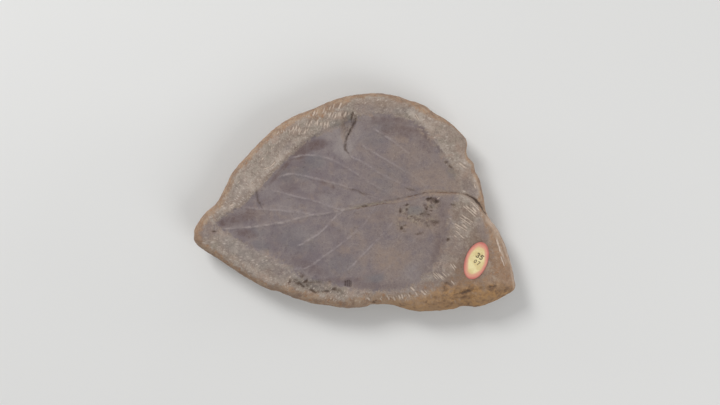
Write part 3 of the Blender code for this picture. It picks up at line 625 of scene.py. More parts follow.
# Patches of each kind: x, y, half length, half width, turn and strength
PATCHES = {
    # Darker film, where more of the leaf's tissue is left
    "maroon": [
        (-49.5, -6.5, 8.5, 2.8, 16, 0.8), (-56.8, -8.8, 1.7, 1.5, 0, 1.0), (-46.5, -13.5, 5.0, 2.2, -8, 0.7),
        # The thin band at (-30.5, 15.0) on the next line, just inside the upper-left margin, is painted
        # shadow cast by the step up to the stone round the leaf
        (-23.2, 22.9, 5.4, 3.5, 40, 1.0), (-17.0, 24.8, 4.8, 2.2, 8, 1.0), (-30.5, 15.0, 9.0, 0.9, 48, 0.8),
        (16.0, 34.9, 10.0, 2.4, -2, 0.55), (8.6, 36.4, 1.6, 0.9, 0, 0.7), (12.6, 35.9, 1.8, 1.2, 0, 0.8),
        (18.4, 35.6, 1.8, 1.4, 0, 0.9), (14.4, 31.4, 3.4, 3.6, -20, 0.6), (19.4, 29.8, 4.0, 2.0, 0, 0.6),
        (22.6, 31.4, 6.5, 1.7, -6, 0.75), (30.2, 29.6, 5.0, 1.3, -50, 1.0), (30.6, 26.0, 5.0, 2.8, -62, 0.45),
        (-9.4, 6.8, 1.3, 1.1, 0, 0.8), (-13.2, 8.4, 1.6, 0.9, -15, 0.7), (-27.0, 7.0, 7.0, 2.2, 8, 0.35),
        (36.6, -20.0, 12.0, 3.6, 76, 0.6), (34.5, -8.6, 2.6, 1.1, 5, 0.8),
        (-20.0, -27.5, 9.0, 2.6, -22, 0.45), (-22.7, -31.2, 1.8, 1.0, -15, 1.0),
        (-6.0, -33.6, 12.0, 1.3, 2, 0.5), (12.0, -35.8, 12.0, 1.6, 0, 0.45), (38.5, -3.0, 3.0, 4.6, 10, 0.45),
        (38.2, 21.8, 2.6, 0.8, -50, 0.6), (-25.0, 15.0, 6.5, 4.5, 10, 0.24), (32.0, -14.0, 6.0, 5.0, 0, 0.18),
        (31.0, -30.0, 4.5, 3.5, 0, 0.25), (-29.0, 11.6, 4.5, 3.6, 0, 0.35), (-41.0, -6.0, 4.5, 3.6, 0, 0.3),
        (13.0, -6.0, 4.0, 3.6, 0, 0.22), (22.0, 29.4, 5.4, 1.6, 0, 0.5), (34.0, 1.2, 2.0, 1.1, -8, 1.0),
        (31.4, -3.4, 1.6, 3.0, 10, 0.5),
    ],
    # Film warmed by rust
    "tan": [
        (43.0, 5.4, 4.4, 3.0, 0, 0.6), (-4.9, 31.0, 1.2, 4.5, 4, 0.7), (20.4, 27.2, 3.4, 1.6, -15, 0.55),
        (22.0, 20.5, 8.0, 6.0, 0, 0.25), (0.0, -13.5, 3.0, 4.5, -30, 0.3), (-4.0, -20.0, 2.6, 2.2, 0, 0.3),
        (4.0, -25.0, 2.6, 2.6, 0, 0.3), (16.0, -24.0, 9.0, 6.5, 10, 0.55), (35.0, 10.0, 8.0, 6.0, 0, 0.45),
        (27.0, -9.0, 10.0, 5.5, -10, 0.55), (20.4, -7.4, 2.4, 1.8, -20, 0.9), (34.0, 4.4, 7.0, 1.7, 0, 0.8),
        (8.0, -7.0, 5.0, 2.5, 20, 0.25), (-8.0, -38.5, 26.0, 2.4, -10, 0.5),
    ],
    # Cooler, bluish grey film and stone
    "slate": [
        (-26.0, -15.0, 11.0, 6.0, -15, 0.4), (14.0, 12.0, 9.0, 6.0, 25, 0.25),
        (-6.0, -27.0, 8.0, 5.0, 0, 0.35), (26.2, -3.4, 3.6, 2.2, 10, 1.0), (-17.0, 17.6, 5.0, 3.4, 10, 0.65),
        (8.0, 28.0, 6.0, 5.0, 0, 0.35), (9.0, -32.6, 5.0, 2.2, 5, 0.7), (13.0, 6.0, 4.0, 3.6, 0, 0.35),
        (-23.0, 12.5, 4.0, 3.6, 0, 0.6), (-29.0, 11.6, 3.6, 3.4, 0, 0.6), (-41.0, -13.0, 4.4, 3.0, 0, 0.45),
        (-40.5, -18.0, 4.4, 2.4, -20, 0.5), (12.0, 33.0, 6.0, 3.0, 0, 0.4), (41.5, 12.6, 2.4, 2.8, 30, 0.5),
        (-2.1, 37.0, 1.1, 2.4, 5, 0.7), (-17.0, -35.6, 12.0, 2.4, -13, 0.55),
        (-8.5, 34.2, 3.6, 1.8, 10, 0.45),
    ],
    # Film whitened by dust
    "bloom": [
        (-4.8, 24.6, 5.0, 5.4, 0, 0.8), (-10.5, 30.0, 5.5, 3.0, 10, 0.5), (1.0, 30.0, 4.0, 4.5, 0, 0.4),
        (-22.5, -12.0, 5.0, 4.0, 0, 0.4), (-36.0, 5.0, 5.0, 3.6, 20, 0.4), (-11.0, 0.5, 4.4, 4.0, 0, 0.4),
        (-29.0, -0.4, 4.4, 3.6, 0, 0.3), (-23.0, -6.0, 4.4, 3.4, 0, 0.3), (1.0, 1.0, 4.4, 3.6, 0, 0.35),
        (25.0, -30.0, 4.6, 4.4, 0, 0.5), (7.0, 37.0, 4.0, 2.4, 0, 0.4),
    ],
    # Crumbly crusts
    "crust": [
        (27.0, -6.0, 8.0, 4.6, -20, 0.9), (20.5, -9.0, 3.4, 3.2, 20, 0.7), (33.5, -0.6, 3.6, 2.4, -15, 0.9),
        (-17.5, -36.2, 12.0, 2.3, -12, 0.95), (46.0, 7.5, 5.0, 3.0, 0, 0.4), (43.0, 14.0, 3.5, 3.0, -40, 0.4),
        (-62.0, -16.0, 4.0, 2.6, -30, 0.4), (-3.2, 34.0, 2.2, 6.0, 5, 0.6),
    ],
    # Stone stained brown
    "brown": [
        (49.0, -29.0, 10.0, 9.5, 15, 0.9), (46.0, -33.0, 5.0, 4.0, 0, 1.0), (43.0, -22.0, 5.0, 9.0, 10, 0.5),
        (60.8, -24.0, 3.6, 9.0, 14, 0.9), (49.0, -5.6, 4.0, 4.4, 0, 0.5), (54.0, -18.0, 6.0, 10.0, 15, 0.8),
        (48.5, -10.0, 4.0, 6.0, 0, 0.15), (45.4, -4.4, 4.6, 4.0, 0, 0.55), (52.0, -34.0, 9.0, 5.0, 5, 0.95),
        (41.0, -37.0, 6.0, 3.2, 20, 0.8), (-4.4, 31.6, 1.5, 6.0, 4, 0.55), (13.0, 42.3, 13.0, 2.4, 0, 0.38),
        (44.0, 29.0, 4.0, 9.0, 30, 0.35), (-26.0, 31.0, 8.0, 4.0, 25, 0.18), (50.0, 9.5, 3.4, 5.5, 15, 0.4),
        (60.2, -18.0, 2.6, 4.4, 14, 0.9), (64.6, -31.0, 4.4, 8.0, 12, 1.0), (48.0, -18.0, 4.0, 4.0, 0, 0.5),
        (40.6, -34.2, 3.4, 3.6, 0, 1.0), (31.4, -35.8, 5.0, 2.6, 12, 0.6), (-10.0, 36.6, 3.4, 1.8, 0, 0.15),
        (-29.0, 25.5, 3.4, 3.0, 40, 0.25), (-35.0, -29.6, 4.4, 2.6, -28, 0.3),
        (-62.5, -11.5, 1.6, 4.0, 20, 0.4), (-66.8, -12.0, 2.4, 6.0, 0, 0.8),
    ],
    # Scraps of film outside the leaf's margin
    "film": [
        (55.5, -12.5, 3.2, 6.0, 18, 0.7), (42.5, -19.0, 4.6, 6.0, 10, 0.6), (37.6, -23.5, 3.4, 6.5, -15, 0.6),
        (30.5, -36.2, 7.0, 3.0, 12, 0.7), (35.6, -31.6, 4.6, 3.4, 0, 0.6), (20.0, -38.6, 9.0, 1.5, 3, 0.5),
        (-41.0, -19.8, 4.6, 1.8, -25, 0.6), (-35.0, -24.6, 3.8, 2.4, -30, 0.5),
        (-32.5, -30.0, 6.5, 2.4, -28, 0.4), (-28.5, 24.2, 4.0, 1.8, 45, 0.4), (50.8, 4.6, 3.4, 2.8, -50, 0.9),
        (-63.4, -12.2, 4.8, 5.0, 0, 0.65), (-10.5, 31.0, 6.5, 2.0, 14, 0.5), (47.0, 7.6, 4.6, 3.2, -20, 0.6),
        (10.0, -39.0, 16.0, 1.8, 0, 0.4), (4.0, 40.2, 5.5, 2.6, 0, 0.6),
    ],
    # Greyer chiselled stone
    "ash": [
        (-45.0, -22.5, 17.0, 4.4, -32, 0.8), (-24.0, -31.5, 10.0, 2.6, -20, 0.7),
        (-49.0, 4.5, 6.0, 4.0, 55, 0.5), (-10.5, 34.0, 5.0, 1.5, 10, 0.6), (45.0, -6.0, 4.0, 4.5, 15, 0.6),
        (16.0, 40.0, 12.0, 1.6, -4, 0.6),
    ],
    # Bruised and bare stone, and painted highlights on faces that catch the light
    "pale": [
        (-33.6, 17.8, 10.0, 1.2, 47, 0.7), (-43.0, 8.0, 4.5, 2.6, 40, 0.5), (60.4, -10.6, 7.2, 1.3, -56, 1.0),
        (63.4, -20.8, 7.5, 0.6, -70, 1.0), (36.4, 1.9, 1.4, 0.8, 25, 1.0), (66.1, -22.0, 9.5, 0.7, -70, 0.9),
        (68.6, -32.6, 5.0, 0.6, -80, 0.7), (50.7, -0.2, 4.4, 0.6, -42, 0.8), (42.5, 2.6, 4.4, 0.9, 4, 0.7),
        (47.0, 16.5, 3.5, 3.0, 20, 0.4), (27.0, 36.8, 4.0, 1.5, -35, 0.8), (31.5, 33.5, 4.0, 1.8, -40, 0.4),
        (37.0, 24.0, 4.0, 0.8, -50, 0.5), (52.6, 8.6, 4.5, 0.8, -72, 0.8), (-54.0, -1.6, 5.0, 1.2, 20, 0.5),
        (-47.0, 6.4, 4.4, 2.6, 45, 0.45),
    ],
}
patch_edge = 0.55 * rough(flat_points, 4.0, 43, 4)
patches = {kind: np.zeros(top_x.shape) for kind in PATCHES}
for kind, ovals in PATCHES.items():
    for *oval, strength in ovals:
        share = oval_share(top_x, top_y, *oval) + patch_edge
        patches[kind] = np.maximum(patches[kind], strength * smooth_step(1.35, 0.45, share))

# The points of the face, the sides and the flat underneath
top_z = face_height(top_x, top_y, edge, in_leaf) + relief * smooth_step(0.0, 1.2, edge)
points = [np.stack([top_x, top_y, top_z], axis=1)]
points += [back_points(row_turn, share) for share in BACK_SHARES_FINE]
points += [back_points(row_turn[::2], share) for share in BACK_SHARES_COARSE]
base_turn, base_share, base_quads, base_rim = round_grid(BASE_GRID)
base_bearing = even_bearing(base_turn)
base_radius = base_share * BASE_SHARE * SOFT_EDGE.reach(base_bearing)
base_x = HUB[0] + base_radius * np.cos(base_bearing)
base_y = HUB[1] + base_radius * np.sin(base_bearing)
points += [np.stack([base_x, base_y, 0 * base_x], axis=1)]
points = np.vstack(points)


def strip(upper, lower):
    """Quads between two closed rows of points, facing outwards when the lower row is further out."""
    return np.stack([lower, np.roll(lower, -1), np.roll(upper, -1), upper], axis=1)


face_count = len(face_turn)
rows = [face_rim]
start = face_count
for number in range(len(BEVEL_INSETS) + len(BACK_SHARES_FINE)):
    rows.append(start + np.arange(4 * FACE_GRID))
    start += 4 * FACE_GRID
coarse_rows = []
for number in range(len(BACK_SHARES_COARSE)):
    coarse_rows.append(start + np.arange(4 * BASE_GRID))
    start += 4 * BASE_GRID
coarse_rows.append(start + base_rim)
quads = [face_quads]
quads += [strip(upper, lower) for upper, lower in zip(rows, rows[1:])]
quads += [strip(upper, lower) for upper, lower in zip(coarse_rows, coarse_rows[1:])]
quads += [start + base_quads[:, ::-1]]
quads = np.vstack(quads)
# Where the rows halve their points, three triangles stand on each pair of the finer row's steps
fine = rows[-1]
coarse = coarse_rows[0]
triangles = np.vstack([
    np.stack([coarse, fine[1::2], fine[::2]], axis=1),
    np.stack([coarse, np.roll(coarse, -1), fine[1::2]], axis=1),
    np.stack([np.roll(coarse, -1), np.roll(fine[::2], -1), fine[1::2]], axis=1),
])


def point_normals(points, quads):
    """The direction that the surface faces at each point: its quads' crossed diagonals, added."""
    corners = points[quads]
    facing = np.cross(corners[:, 2] - corners[:, 0], corners[:, 3] - corners[:, 1])
    total = np.zeros_like(points)
    for k in range(4):
        np.add.at(total, quads[:, k], facing)
    return total / np.maximum(np.linalg.norm(total, axis=1, keepdims=True), 1e-12)


rest = len(points) - len(top_x)
on_top = np.concatenate([np.ones(len(top_x)), np.zeros(rest)])
everywhere_edge = np.concatenate([edge, np.zeros(rest)])
everywhere_leaf = np.concatenate([leaf_share, np.zeros(rest)])
outer = smooth_step(9.0, 2.5, everywhere_edge)
chiselled = on_top * (1 - everywhere_leaf)
# Bumps, each a height times a roughness of one size: fine everywhere, choppy where the stone was worked and
# coarse towards the rind
bump = 0.05 * rough(points, 1.5, 51, 2) + 0.07 * rough(points, 7.0, 55, 2)
bump += chiselled * (0.2 * rough(points, 2.4, 61) + 0.07 * lattice_noise(points, 1.0, 65))
bump += outer * (0.22 * rough(points, 7.5, 71, 4) + 0.08 * lattice_noise(points, 1.3, 79))
lift = smooth_step(0.0, 2.5, points[:, 2])
points = points + point_normals(points, quads) * (bump * lift)[:, None]
# The flat underneath rests on its high spots, with shallow hollows between them
under = points[:, 2] < 1.0
points[under, 2] = np.maximum(points[under, 2], 0)
base_at = slice(len(points) - len(base_turn), len(points))
hollows = np.maximum(rough(points[base_at], 5.0, 81, 4) - 0.05, 0)
points[base_at, 2] = 0.55 * hollows * smooth_step(1.0, 0.9, base_share)


def make_mesh(name, points, *face_groups):
    """A mesh object from points in millimetres and arrays of faces, each with its own count of corners."""
    mesh = bpy.data.meshes.new(name)
    corners = np.concatenate([group.ravel() for group in face_groups])
    counts = np.concatenate([np.full(len(group), group.shape[1]) for group in face_groups])
    mesh.vertices.add(len(points))
    mesh.vertices.foreach_set("co", (points * MM).astype(np.float32).ravel())
    mesh.loops.add(len(corners))
    mesh.loops.foreach_set("vertex_index", corners.astype(np.int32))
    mesh.polygons.add(len(counts))
    mesh.polygons.foreach_set("loop_start", np.concatenate([[0], np.cumsum(counts)[:-1]]).astype(np.int32))
    mesh.update(calc_edges=True)
    mesh.validate()
    mesh.shade_smooth()
    made = bpy.data.objects.new(name, mesh)
    bpy.context.scene.collection.objects.link(made)
    return made


def set_attribute(piece, name, values):
    """Keeps one number for each point of the mesh, for the material to read."""
    made = piece.data.attributes.new(name, "FLOAT", "POINT")
    made.data.foreach_set("value", values.astype(np.float32))


stone = make_mesh("stone", points, quads, triangles)
# What the material reads: shares, which are nothing on the back, and offsets, which are far off there
near_vein = smooth_step(2.0, 1.2, np.abs(side_offset)) * side_fade * smooth_step(0.0, 1.5, in_leaf)
shares = {
    **patches,
    "rind_level": rind_level,
    "bank": bank_share,
    "pit": pit,
    "slit_half": slit_half,
    "slit_dark": slit_dark,
    "notches": notches,
    "near_vein": near_vein,
    "near_rib": smooth_step(3.0, 2.0, rib_gap),
    "halo": (1 - leaf_share) * smooth_step(1.5, 3.5, edge),
}
offsets = {"slit_offset": slit_offset, "rib_offset": rib_offset, "side_offset": side_offset}
for number in range(STROKE_SETS):
    offsets[f"stroke_offset_{number}"] = stroke_offsets[number]
    shares[f"stroke_share_{number}"] = stroke_shares[number]
FAR_OFF = 9
OUTSIDE_LEAF = -2
for name, values in shares.items():
    set_attribute(stone, name, np.concatenate([values, np.zeros(rest)]))
for name, values in offsets.items():
    set_attribute(stone, name, np.concatenate([values, np.full(rest, FAR_OFF)]))
set_attribute(stone, "leaf_level", np.concatenate([leaf_level, np.full(rest, OUTSIDE_LEAF)]))


def tint(red, green, blue):
    """A screen colour from 0 to 255 as the light it stands for."""
    share = np.array((red, green, blue)) / 255
    return (*np.where(share <= 0.04045, share / 12.92, ((share + 0.055) / 1.055) ** 2.4), 1.0)


class ShaderTree:
    """A new material, with short calls that add nodes to its shader."""

    def __init__(self, name):
        self.material = bpy.data.materials.new(name)
        self.material.use_nodes = True
        self.nodes = self.material.node_tree.nodes
        self.links = self.material.node_tree.links
        self.place = self.node("ShaderNodeTexCoord").outputs["Object"]

    def feed(self, made, inputs):
        """Gives each named input of a node a value, or the socket that feeds it."""
        for key, value in inputs.items():
            if isinstance(value, bpy.types.NodeSocket):
                self.links.new(value, made.inputs[key])
            else:
                made.inputs[key].default_value = value

    def node(self, kind, inputs=None, **settings):
        """Adds a shader node with these inputs and settings."""
        made = self.nodes.new(kind)
        for name, value in settings.items():
            setattr(made, name, value)
        self.feed(made, inputs or {})
        return made

    def surface(self, inputs):
        """Feeds the inputs of the material's own surface shader."""
        self.feed(self.nodes["Principled BSDF"], inputs)

    def attribute(self, name):
        """One of the mesh's own numbers."""
        return self.node("ShaderNodeAttribute", attribute_name=name).outputs["Fac"]

    def maths(self, operation, first, second=0.0, *more):
        """Numbers joined by one operation, from the first to the last."""
        joined = self.node("ShaderNodeMath", {0: first, 1: second}, operation=operation).outputs[0]
        return self.maths(operation, joined, *more) if more else joined

    def plus(self, *values):
        """The sum of the values."""
        return self.maths("ADD", *values)

    def times(self, *values):
        """The product of the values."""
        return self.maths("MULTIPLY", *values)

    def most(self, *values):
        """The largest of the values."""
        return self.maths("MAXIMUM", *values)

    def size(self, value):
        """The value without its sign."""
        return self.maths("ABSOLUTE", value)

    def ramp(self, value, low, high, start=0.0, end=1.0):
        """A smooth change from start at low to end at high."""
        inputs = {"Value": value, "From Min": low, "From Max": high, "To Min": start, "To Max": end}
        return self.node("ShaderNodeMapRange", inputs, interpolation_type="SMOOTHSTEP").outputs[0]

    def wobble(self, pattern, reach):
        """A push of up to reach one way or the other, as a pattern of grain has it."""
        return self.ramp(pattern, 0.3, 0.7, -reach, reach)

    def grain(self, size, detail=3.0, roughness=0.55, distortion=0.0, place=None):
        """Cloudy noise whose lumps are about size millimetres across, from 0 to 1."""
        inputs = {
            "Vector": place or self.place,
            "Scale": 1 / (size * MM),
            "Detail": detail,
            "Roughness": roughness,
            "Distortion": distortion,
        }
        return self.node("ShaderNodeTexNoise", inputs).outputs["Fac"]

    def blend(self, share, below, above):
        """One colour over another."""
        return self.node("ShaderNodeMix", {0: share, 6: below, 7: above}, data_type="RGBA").outputs[2]

    def layers(self, colour, *rows):
        """Colours laid over a first one, the lowest first: each row is a share and its colour."""
        for share, above in rows:
            colour = self.blend(share, colour, above)
        return colour

    def shade(self, share, colour, factor):
        """The colour multiplied by a factor colour, by a share."""
        inputs = {0: share, 6: colour, 7: factor}
        return self.node("ShaderNodeMix", inputs, data_type="RGBA", blend_type="MULTIPLY").outputs[2]


tree = ShaderTree("leaf_bearing_ironstone")
across_plate = tree.node("ShaderNodeSeparateXYZ", {0: tree.place}).outputs["X"]
bank = tree.attribute("bank")
cloud = tree.grain(9.0, 4.0)
drift = tree.grain(5.0, 4.0, 0.6, 0.5)
chip = tree.grain(2.4, 6.0, 0.68, 0.3)
fine = tree.grain(1.3, 5.0, 0.65)
speck = tree.grain(0.6, 3.0, 0.6)


def patch_share(kind, start, end):
    """How strongly a kind of patch shows: it changes from start to end with the chips of the grain."""
    return tree.times(tree.attribute(kind), tree.ramp(chip, 0.35, 0.6, start, end))


# The film and the rind both end raggedly, grain by grain
leaf = tree.ramp(tree.plus(tree.attribute("leaf_level"), tree.wobble(chip, 0.75)), -0.6, 0.6)
leaf = tree.most(leaf, patch_share("film", 1.0, 0.5))
rind = tree.ramp(tree.plus(tree.attribute("rind_level"), tree.wobble(chip, 0.3)), 1.35, 0.65)

# The leaf film: brownish purple-grey, clouded warmer and cooler, and darker where more of the tissue is left
slate_share = tree.times(tree.attribute("slate"), 0.8)
pale_specks = tree.ramp(speck, 0.52, 0.7, 0.0, 0.45)
pale_specks = tree.times(pale_specks, tree.ramp(across_plate, -0.02, 0.02, 0.25, 1.0))
leaf_colour = tree.layers(
    tree.blend(tree.ramp(cloud, 0.38, 0.62), tint(119, 108, 110), tint(130, 119, 118)),
    (tree.ramp(across_plate, -0.012, 0.022, 0.0, 0.85), tint(129, 116, 112)),
    (tree.ramp(drift, 0.5, 0.68, 0.0, 0.5), tint(139, 123, 114)),
    (tree.ramp(drift, 0.49, 0.34, 0.0, 0.6), tint(114, 104, 108)),
    (tree.ramp(fine, 0.5, 0.7, 0.0, 0.4), tint(110, 99, 100)),
    (pale_specks, tint(154, 141, 134)),
    (slate_share, tint(112, 109, 112)),
    (patch_share("bloom", 0.6, 1.0), tint(146, 137, 134)),
    (patch_share("tan", 0.4, 1.0), tint(148, 129, 114)),
    (patch_share("maroon", 1.0, 0.55), tint(101, 84, 82)),
)

# The chiselled stone round the leaf: paler, with crushed white grains and darker crumbs between them
ash = tree.attribute("ash")
ash_colour = tree.blend(tree.ramp(chip, 0.38, 0.62), tint(129, 120, 117), tint(148, 139, 133))
crushed = tree.times(tree.ramp(speck, 0.55, 0.68, 0.0, 0.6), tree.ramp(ash, 0.0, 0.8, 1.0, 0.5))
brown_share = patch_share("brown", 0.95, 0.7)
bare_stone_and_highlight = patch_share("pale", 0.4, 0.95)
halo_colour = tree.layers(
    tree.blend(tree.ramp(chip, 0.38, 0.6), tint(138, 124, 114), tint(160, 147, 136)),
    (tree.ramp(drift, 0.5, 0.66, 0.0, 0.55), tint(160, 138, 124)),
    (tree.ramp(drift, 0.48, 0.34, 0.0, 0.5), tint(139, 131, 119)),
    (tree.ramp(cloud, 0.5, 0.64, 0.0, 0.5), tint(151, 132, 118)),
    (tree.times(ash, 0.75), ash_colour),
    (crushed, tint(184, 173, 162)),
    (tree.ramp(speck, 0.44, 0.32, 0.0, 0.45), tint(112, 99, 90)),
    (brown_share, tint(118, 96, 81)),
    (slate_share, tint(112, 107, 98)),
    (bare_stone_and_highlight, tint(180, 167, 156)),
)

# The bank at the lower right: brown, with yellow lumps and dark seams that run along it
rust = tree.grain(3.6, 5.0, 0.65, 0.6)
stretched = tree.node("ShaderNodeVectorMath", {0: tree.place, 1: (0.7, 1.0, 1.0)}, operation="MULTIPLY")
bed = tree.grain(2.6, 5.0, 0.62, 0.4, stretched.outputs[0])
bank_colour = tree.layers(
    tree.blend(tree.ramp(bed, 0.38, 0.62), tint(122, 94, 70), tint(152, 121, 89)),
    (tree.ramp(rust, 0.47, 0.6, 0.0, 0.6), tint(176, 136, 90)),
    (tree.ramp(fine, 0.48, 0.66, 0.0, 0.45), tint(178, 140, 94)),
    (tree.ramp(across_plate, 0.048, 0.026, 0.0, 0.4), tint(168, 140, 112)),
    (tree.ramp(bed, 0.44, 0.35, 0.0, 0.5), tint(102, 76, 56)),
)

# The rind: rusty ochre, mottled with paler and redder spots
rind_colour = tree.layers(
    tree.blend(tree.ramp(rust, 0.4, 0.62), tint(136, 113, 95), tint(160, 138, 118)),
    (tree.ramp(fine, 0.5, 0.68, 0.0, 0.7), tint(166, 121, 84)),
    (tree.ramp(cloud, 0.5, 0.34, 0.0, 0.5), tint(128, 108, 96)),
    (tree.ramp(speck, 0.56, 0.7, 0.0, 0.5), tint(184, 164, 142)),
    (tree.times(brown_share, 0.6), tint(138, 108, 84)),
    (bank, bank_colour),
)
colour = tree.layers(
    halo_colour,
    (leaf, leaf_colour),
    (rind, rind_colour),
    # painted highlights: pale patches over the rind where its edge facets catch the light
    (tree.times(bare_stone_and_highlight, rind, 0.85), tint(188, 168, 152)),
)

# Crumbly crusts: grains of grey, tan and olive about a millimetre across, with dark gaps between some of them
CRUMB_SIZE = 1.5
crumbs = tree.node("ShaderNodeTexVoronoi", {"Vector": tree.place, "Scale": 1 / (CRUMB_SIZE * MM)})
crumb_kind = tree.node("ShaderNodeSeparateColor", {0: crumbs.outputs["Color"]})
crumb_gap = tree.ramp(crumbs.outputs["Distance"], 0.42, 0.62)
crumb_gap = tree.times(crumb_gap, tree.ramp(chip, 0.52, 0.4, 0.0, 0.75))
crumb_colour = tree.layers(
    tree.blend(crumb_kind.outputs[0], tint(118, 106, 99), tint(152, 134, 119)),
    (tree.ramp(crumb_kind.outputs[1], 0.6, 0.9, 0.0, 0.6), tint(154, 143, 127)),
    (crumb_gap, tint(92, 79, 71)),
    (tree.ramp(fine, 0.5, 0.41, 0.0, 0.9), tint(94, 77, 69)),
    (tree.times(tree.attribute("slate"), 0.65), tint(122, 117, 116)),
)
crust_share = tree.times(tree.attribute("crust"), tree.ramp(drift, 0.34, 0.56, 0.25, 0.85))

# Flecks of crushed stone left by the chisel: streaks that slant away from the leaf's middle, on a spiral grid
FLECK_TURN = math.radians(-28)
FLECK_LENGTH = 2.4
FLECK_WIDTH = 1.15
MEAN_RADIUS = 48.0
from_hub = tree.node("ShaderNodeVectorMath", {0: tree.place, 1: (*(HUB * MM), 0)}, operation="SUBTRACT")
plane = tree.node("ShaderNodeSeparateXYZ", {0: from_hub.outputs[0]}).outputs
round_angle = tree.maths("ARCTAN2", plane["Y"], plane["X"])
squares = tree.plus(tree.maths("POWER", plane["X"], 2.0), tree.maths("POWER", plane["Y"], 2.0))
log_radius = tree.times(tree.maths("LOGARITHM", squares, math.e), 0.5)
fleck_cosine = math.cos(FLECK_TURN)
fleck_sine = math.sin(FLECK_TURN)
fleck_along = tree.plus(tree.times(log_radius, fleck_cosine), tree.times(round_angle, fleck_sine))
fleck_across = tree.plus(tree.times(round_angle, fleck_cosine), tree.times(log_radius, -fleck_sine))
fleck_place = tree.node("ShaderNodeCombineXYZ", {
    "X": tree.times(fleck_along, MEAN_RADIUS / FLECK_LENGTH),
    "Y": tree.times(fleck_across, MEAN_RADIUS / FLECK_WIDTH),
})
cell_inputs = {"Vector": fleck_place.outputs[0], "Scale": 1.0}
cells = tree.node("ShaderNodeTexVoronoi", cell_inputs, voronoi_dimensions="2D")
cell_kind = tree.node("ShaderNodeSeparateColor", {0: cells.outputs["Color"]})
fleck = tree.times(
    tree.ramp(tree.plus(cells.outputs["Distance"], tree.wobble(speck, 0.1)), 0.34, 0.14),
    tree.ramp(cell_kind.outputs[0], 0.45, 0.85),
    tree.attribute("halo"),
    tree.ramp(cloud, 0.4, 0.6, 0.3, 0.8),
    tree.ramp(tree.attribute("brown"), 0.1, 0.7, 1.0, 0.2),
    tree.ramp(tree.attribute("film"), 0.1, 0.6, 1.0, 0.2),
    tree.plus(tree.times(bank, -0.7), 1.0),
)

# The strokes: pale crushed stone down the middle of each and a thin brown shadow along its sides
rubbed = tree.ramp(speck, 0.3, 0.65, -0.06, 0.1)
middles = []
flanks = []
for number in range(STROKE_SETS):
    off_line = tree.plus(tree.size(tree.attribute(f"stroke_offset_{number}")), rubbed)
    share = tree.attribute(f"stroke_share_{number}")
    middles.append(tree.times(tree.ramp(off_line, STROKE_HALF_WIDTH + 0.08, STROKE_HALF_WIDTH - 0.16), share))
    flanks.append(tree.times(tree.ramp(off_line, STROKE_HALF_WIDTH + 0.38, STROKE_HALF_WIDTH + 0.1), share))
stroke = tree.most(*middles)
stroke_share = tree.times(stroke, tree.ramp(chip, 0.35, 0.6, 0.6, 0.95))
colour = tree.layers(
    colour,
    (crust_share, crumb_colour),
    (tree.times(fleck, 0.8), tint(196, 183, 172)),
    (tree.times(tree.most(*flanks), 0.4), tint(118, 99, 86)),
    (tree.maths("MINIMUM", stroke_share, 1.0), tint(196, 179, 164)),
)

# The veins: thin pale lines down the middle of each ridge, worn away here and there
VEIN_LINE = 0.42
worn = tree.ramp(tree.grain(3.0, 2.0), 0.38, 0.56, 0.3, 1.0)
sway = tree.ramp(chip, 0.25, 0.75, -0.25, 0.25)
from_vein = tree.size(tree.plus(tree.attribute("side_offset"), sway))
side_line = tree.times(
    tree.ramp(from_vein, VEIN_LINE + 0.3, VEIN_LINE - 0.35),
    worn,
    tree.attribute("near_vein"),
)
rib_place = tree.plus(tree.attribute("rib_offset"), sway)
from_rib = tree.size(rib_place)
near_rib = tree.attribute("near_rib")
past_fork = tree.ramp(across_plate, -0.007, 0.004)
thin_rib = tree.times(
    tree.ramp(from_rib, 0.7, 0.15),
    tree.maths("SUBTRACT", 1.0, past_fork),
    near_rib,
    worn,
    tree.ramp(across_plate, -0.030, -0.018, 1.0, 0.5),
)

# From the fork on the midrib is a worn band of earth between two broken brown lines: the lower is clearer up
# to the middle of the leaf, then the upper one, and near the stalk only a rusty line is left
BAND_HALF_WIDTH = 0.75
in_band = tree.times(past_fork, tree.ramp(across_plate, 0.050, 0.044))
band_place = tree.plus(rib_place, tree.ramp(across_plate, 0.010, 0.018, -0.45, 0.4))
from_band = tree.plus(
    tree.size(band_place),
    tree.wobble(chip, 0.45),
    tree.ramp(across_plate, 0.026, 0.040, 0.0, 0.55),
)
earth_share = tree.times(
    tree.ramp(from_band, BAND_HALF_WIDTH + 0.2, BAND_HALF_WIDTH - 0.3),
    in_band,
    tree.ramp(drift, 0.4, 0.56, 0.45, 0.85),
    tree.ramp(chip, 0.42, 0.54, 0.25, 1.0),
    tree.ramp(across_plate, 0.012, 0.020, 1.0, 0.85),
)
earth_colour = tree.layers(
    tree.blend(tree.ramp(across_plate, 0.008, 0.020), tint(144, 131, 113), tint(146, 127, 113)),
    (tree.ramp(fine, 0.5, 0.64, 0.0, 0.5), tint(162, 145, 128)),
    (tree.ramp(across_plate, 0.037, 0.042, 0.0, 0.8), tint(152, 114, 80)),
)
broken = tree.ramp(tree.grain(1.5, 3.0), 0.48, 0.56)
lower_line = tree.times(
    tree.ramp(tree.size(tree.plus(band_place, BAND_HALF_WIDTH)), 0.38, 0.12),
    tree.ramp(across_plate, 0.010, 0.020, 0.85, 0.3),
    in_band,
    tree.ramp(broken, 0.0, 1.0, 0.5, 1.0),
)
upper_line = tree.times(
    tree.ramp(tree.size(tree.plus(band_place, -BAND_HALF_WIDTH)), 0.42, 0.12),
    tree.ramp(across_plate, 0.010, 0.016, 0.15, 0.9),
    in_band,
    broken,
)
side_lines = tree.times(tree.most(lower_line, upper_line), tree.ramp(across_plate, 0.028, 0.036, 1.0, 0.25))
stalk_line = tree.times(
    tree.ramp(from_rib, 0.3, 0.08),
    in_band,
    tree.ramp(across_plate, 0.032, 0.037, 0.0, 0.8),
    tree.ramp(drift, 0.42, 0.52, 0.3, 1.0),
)

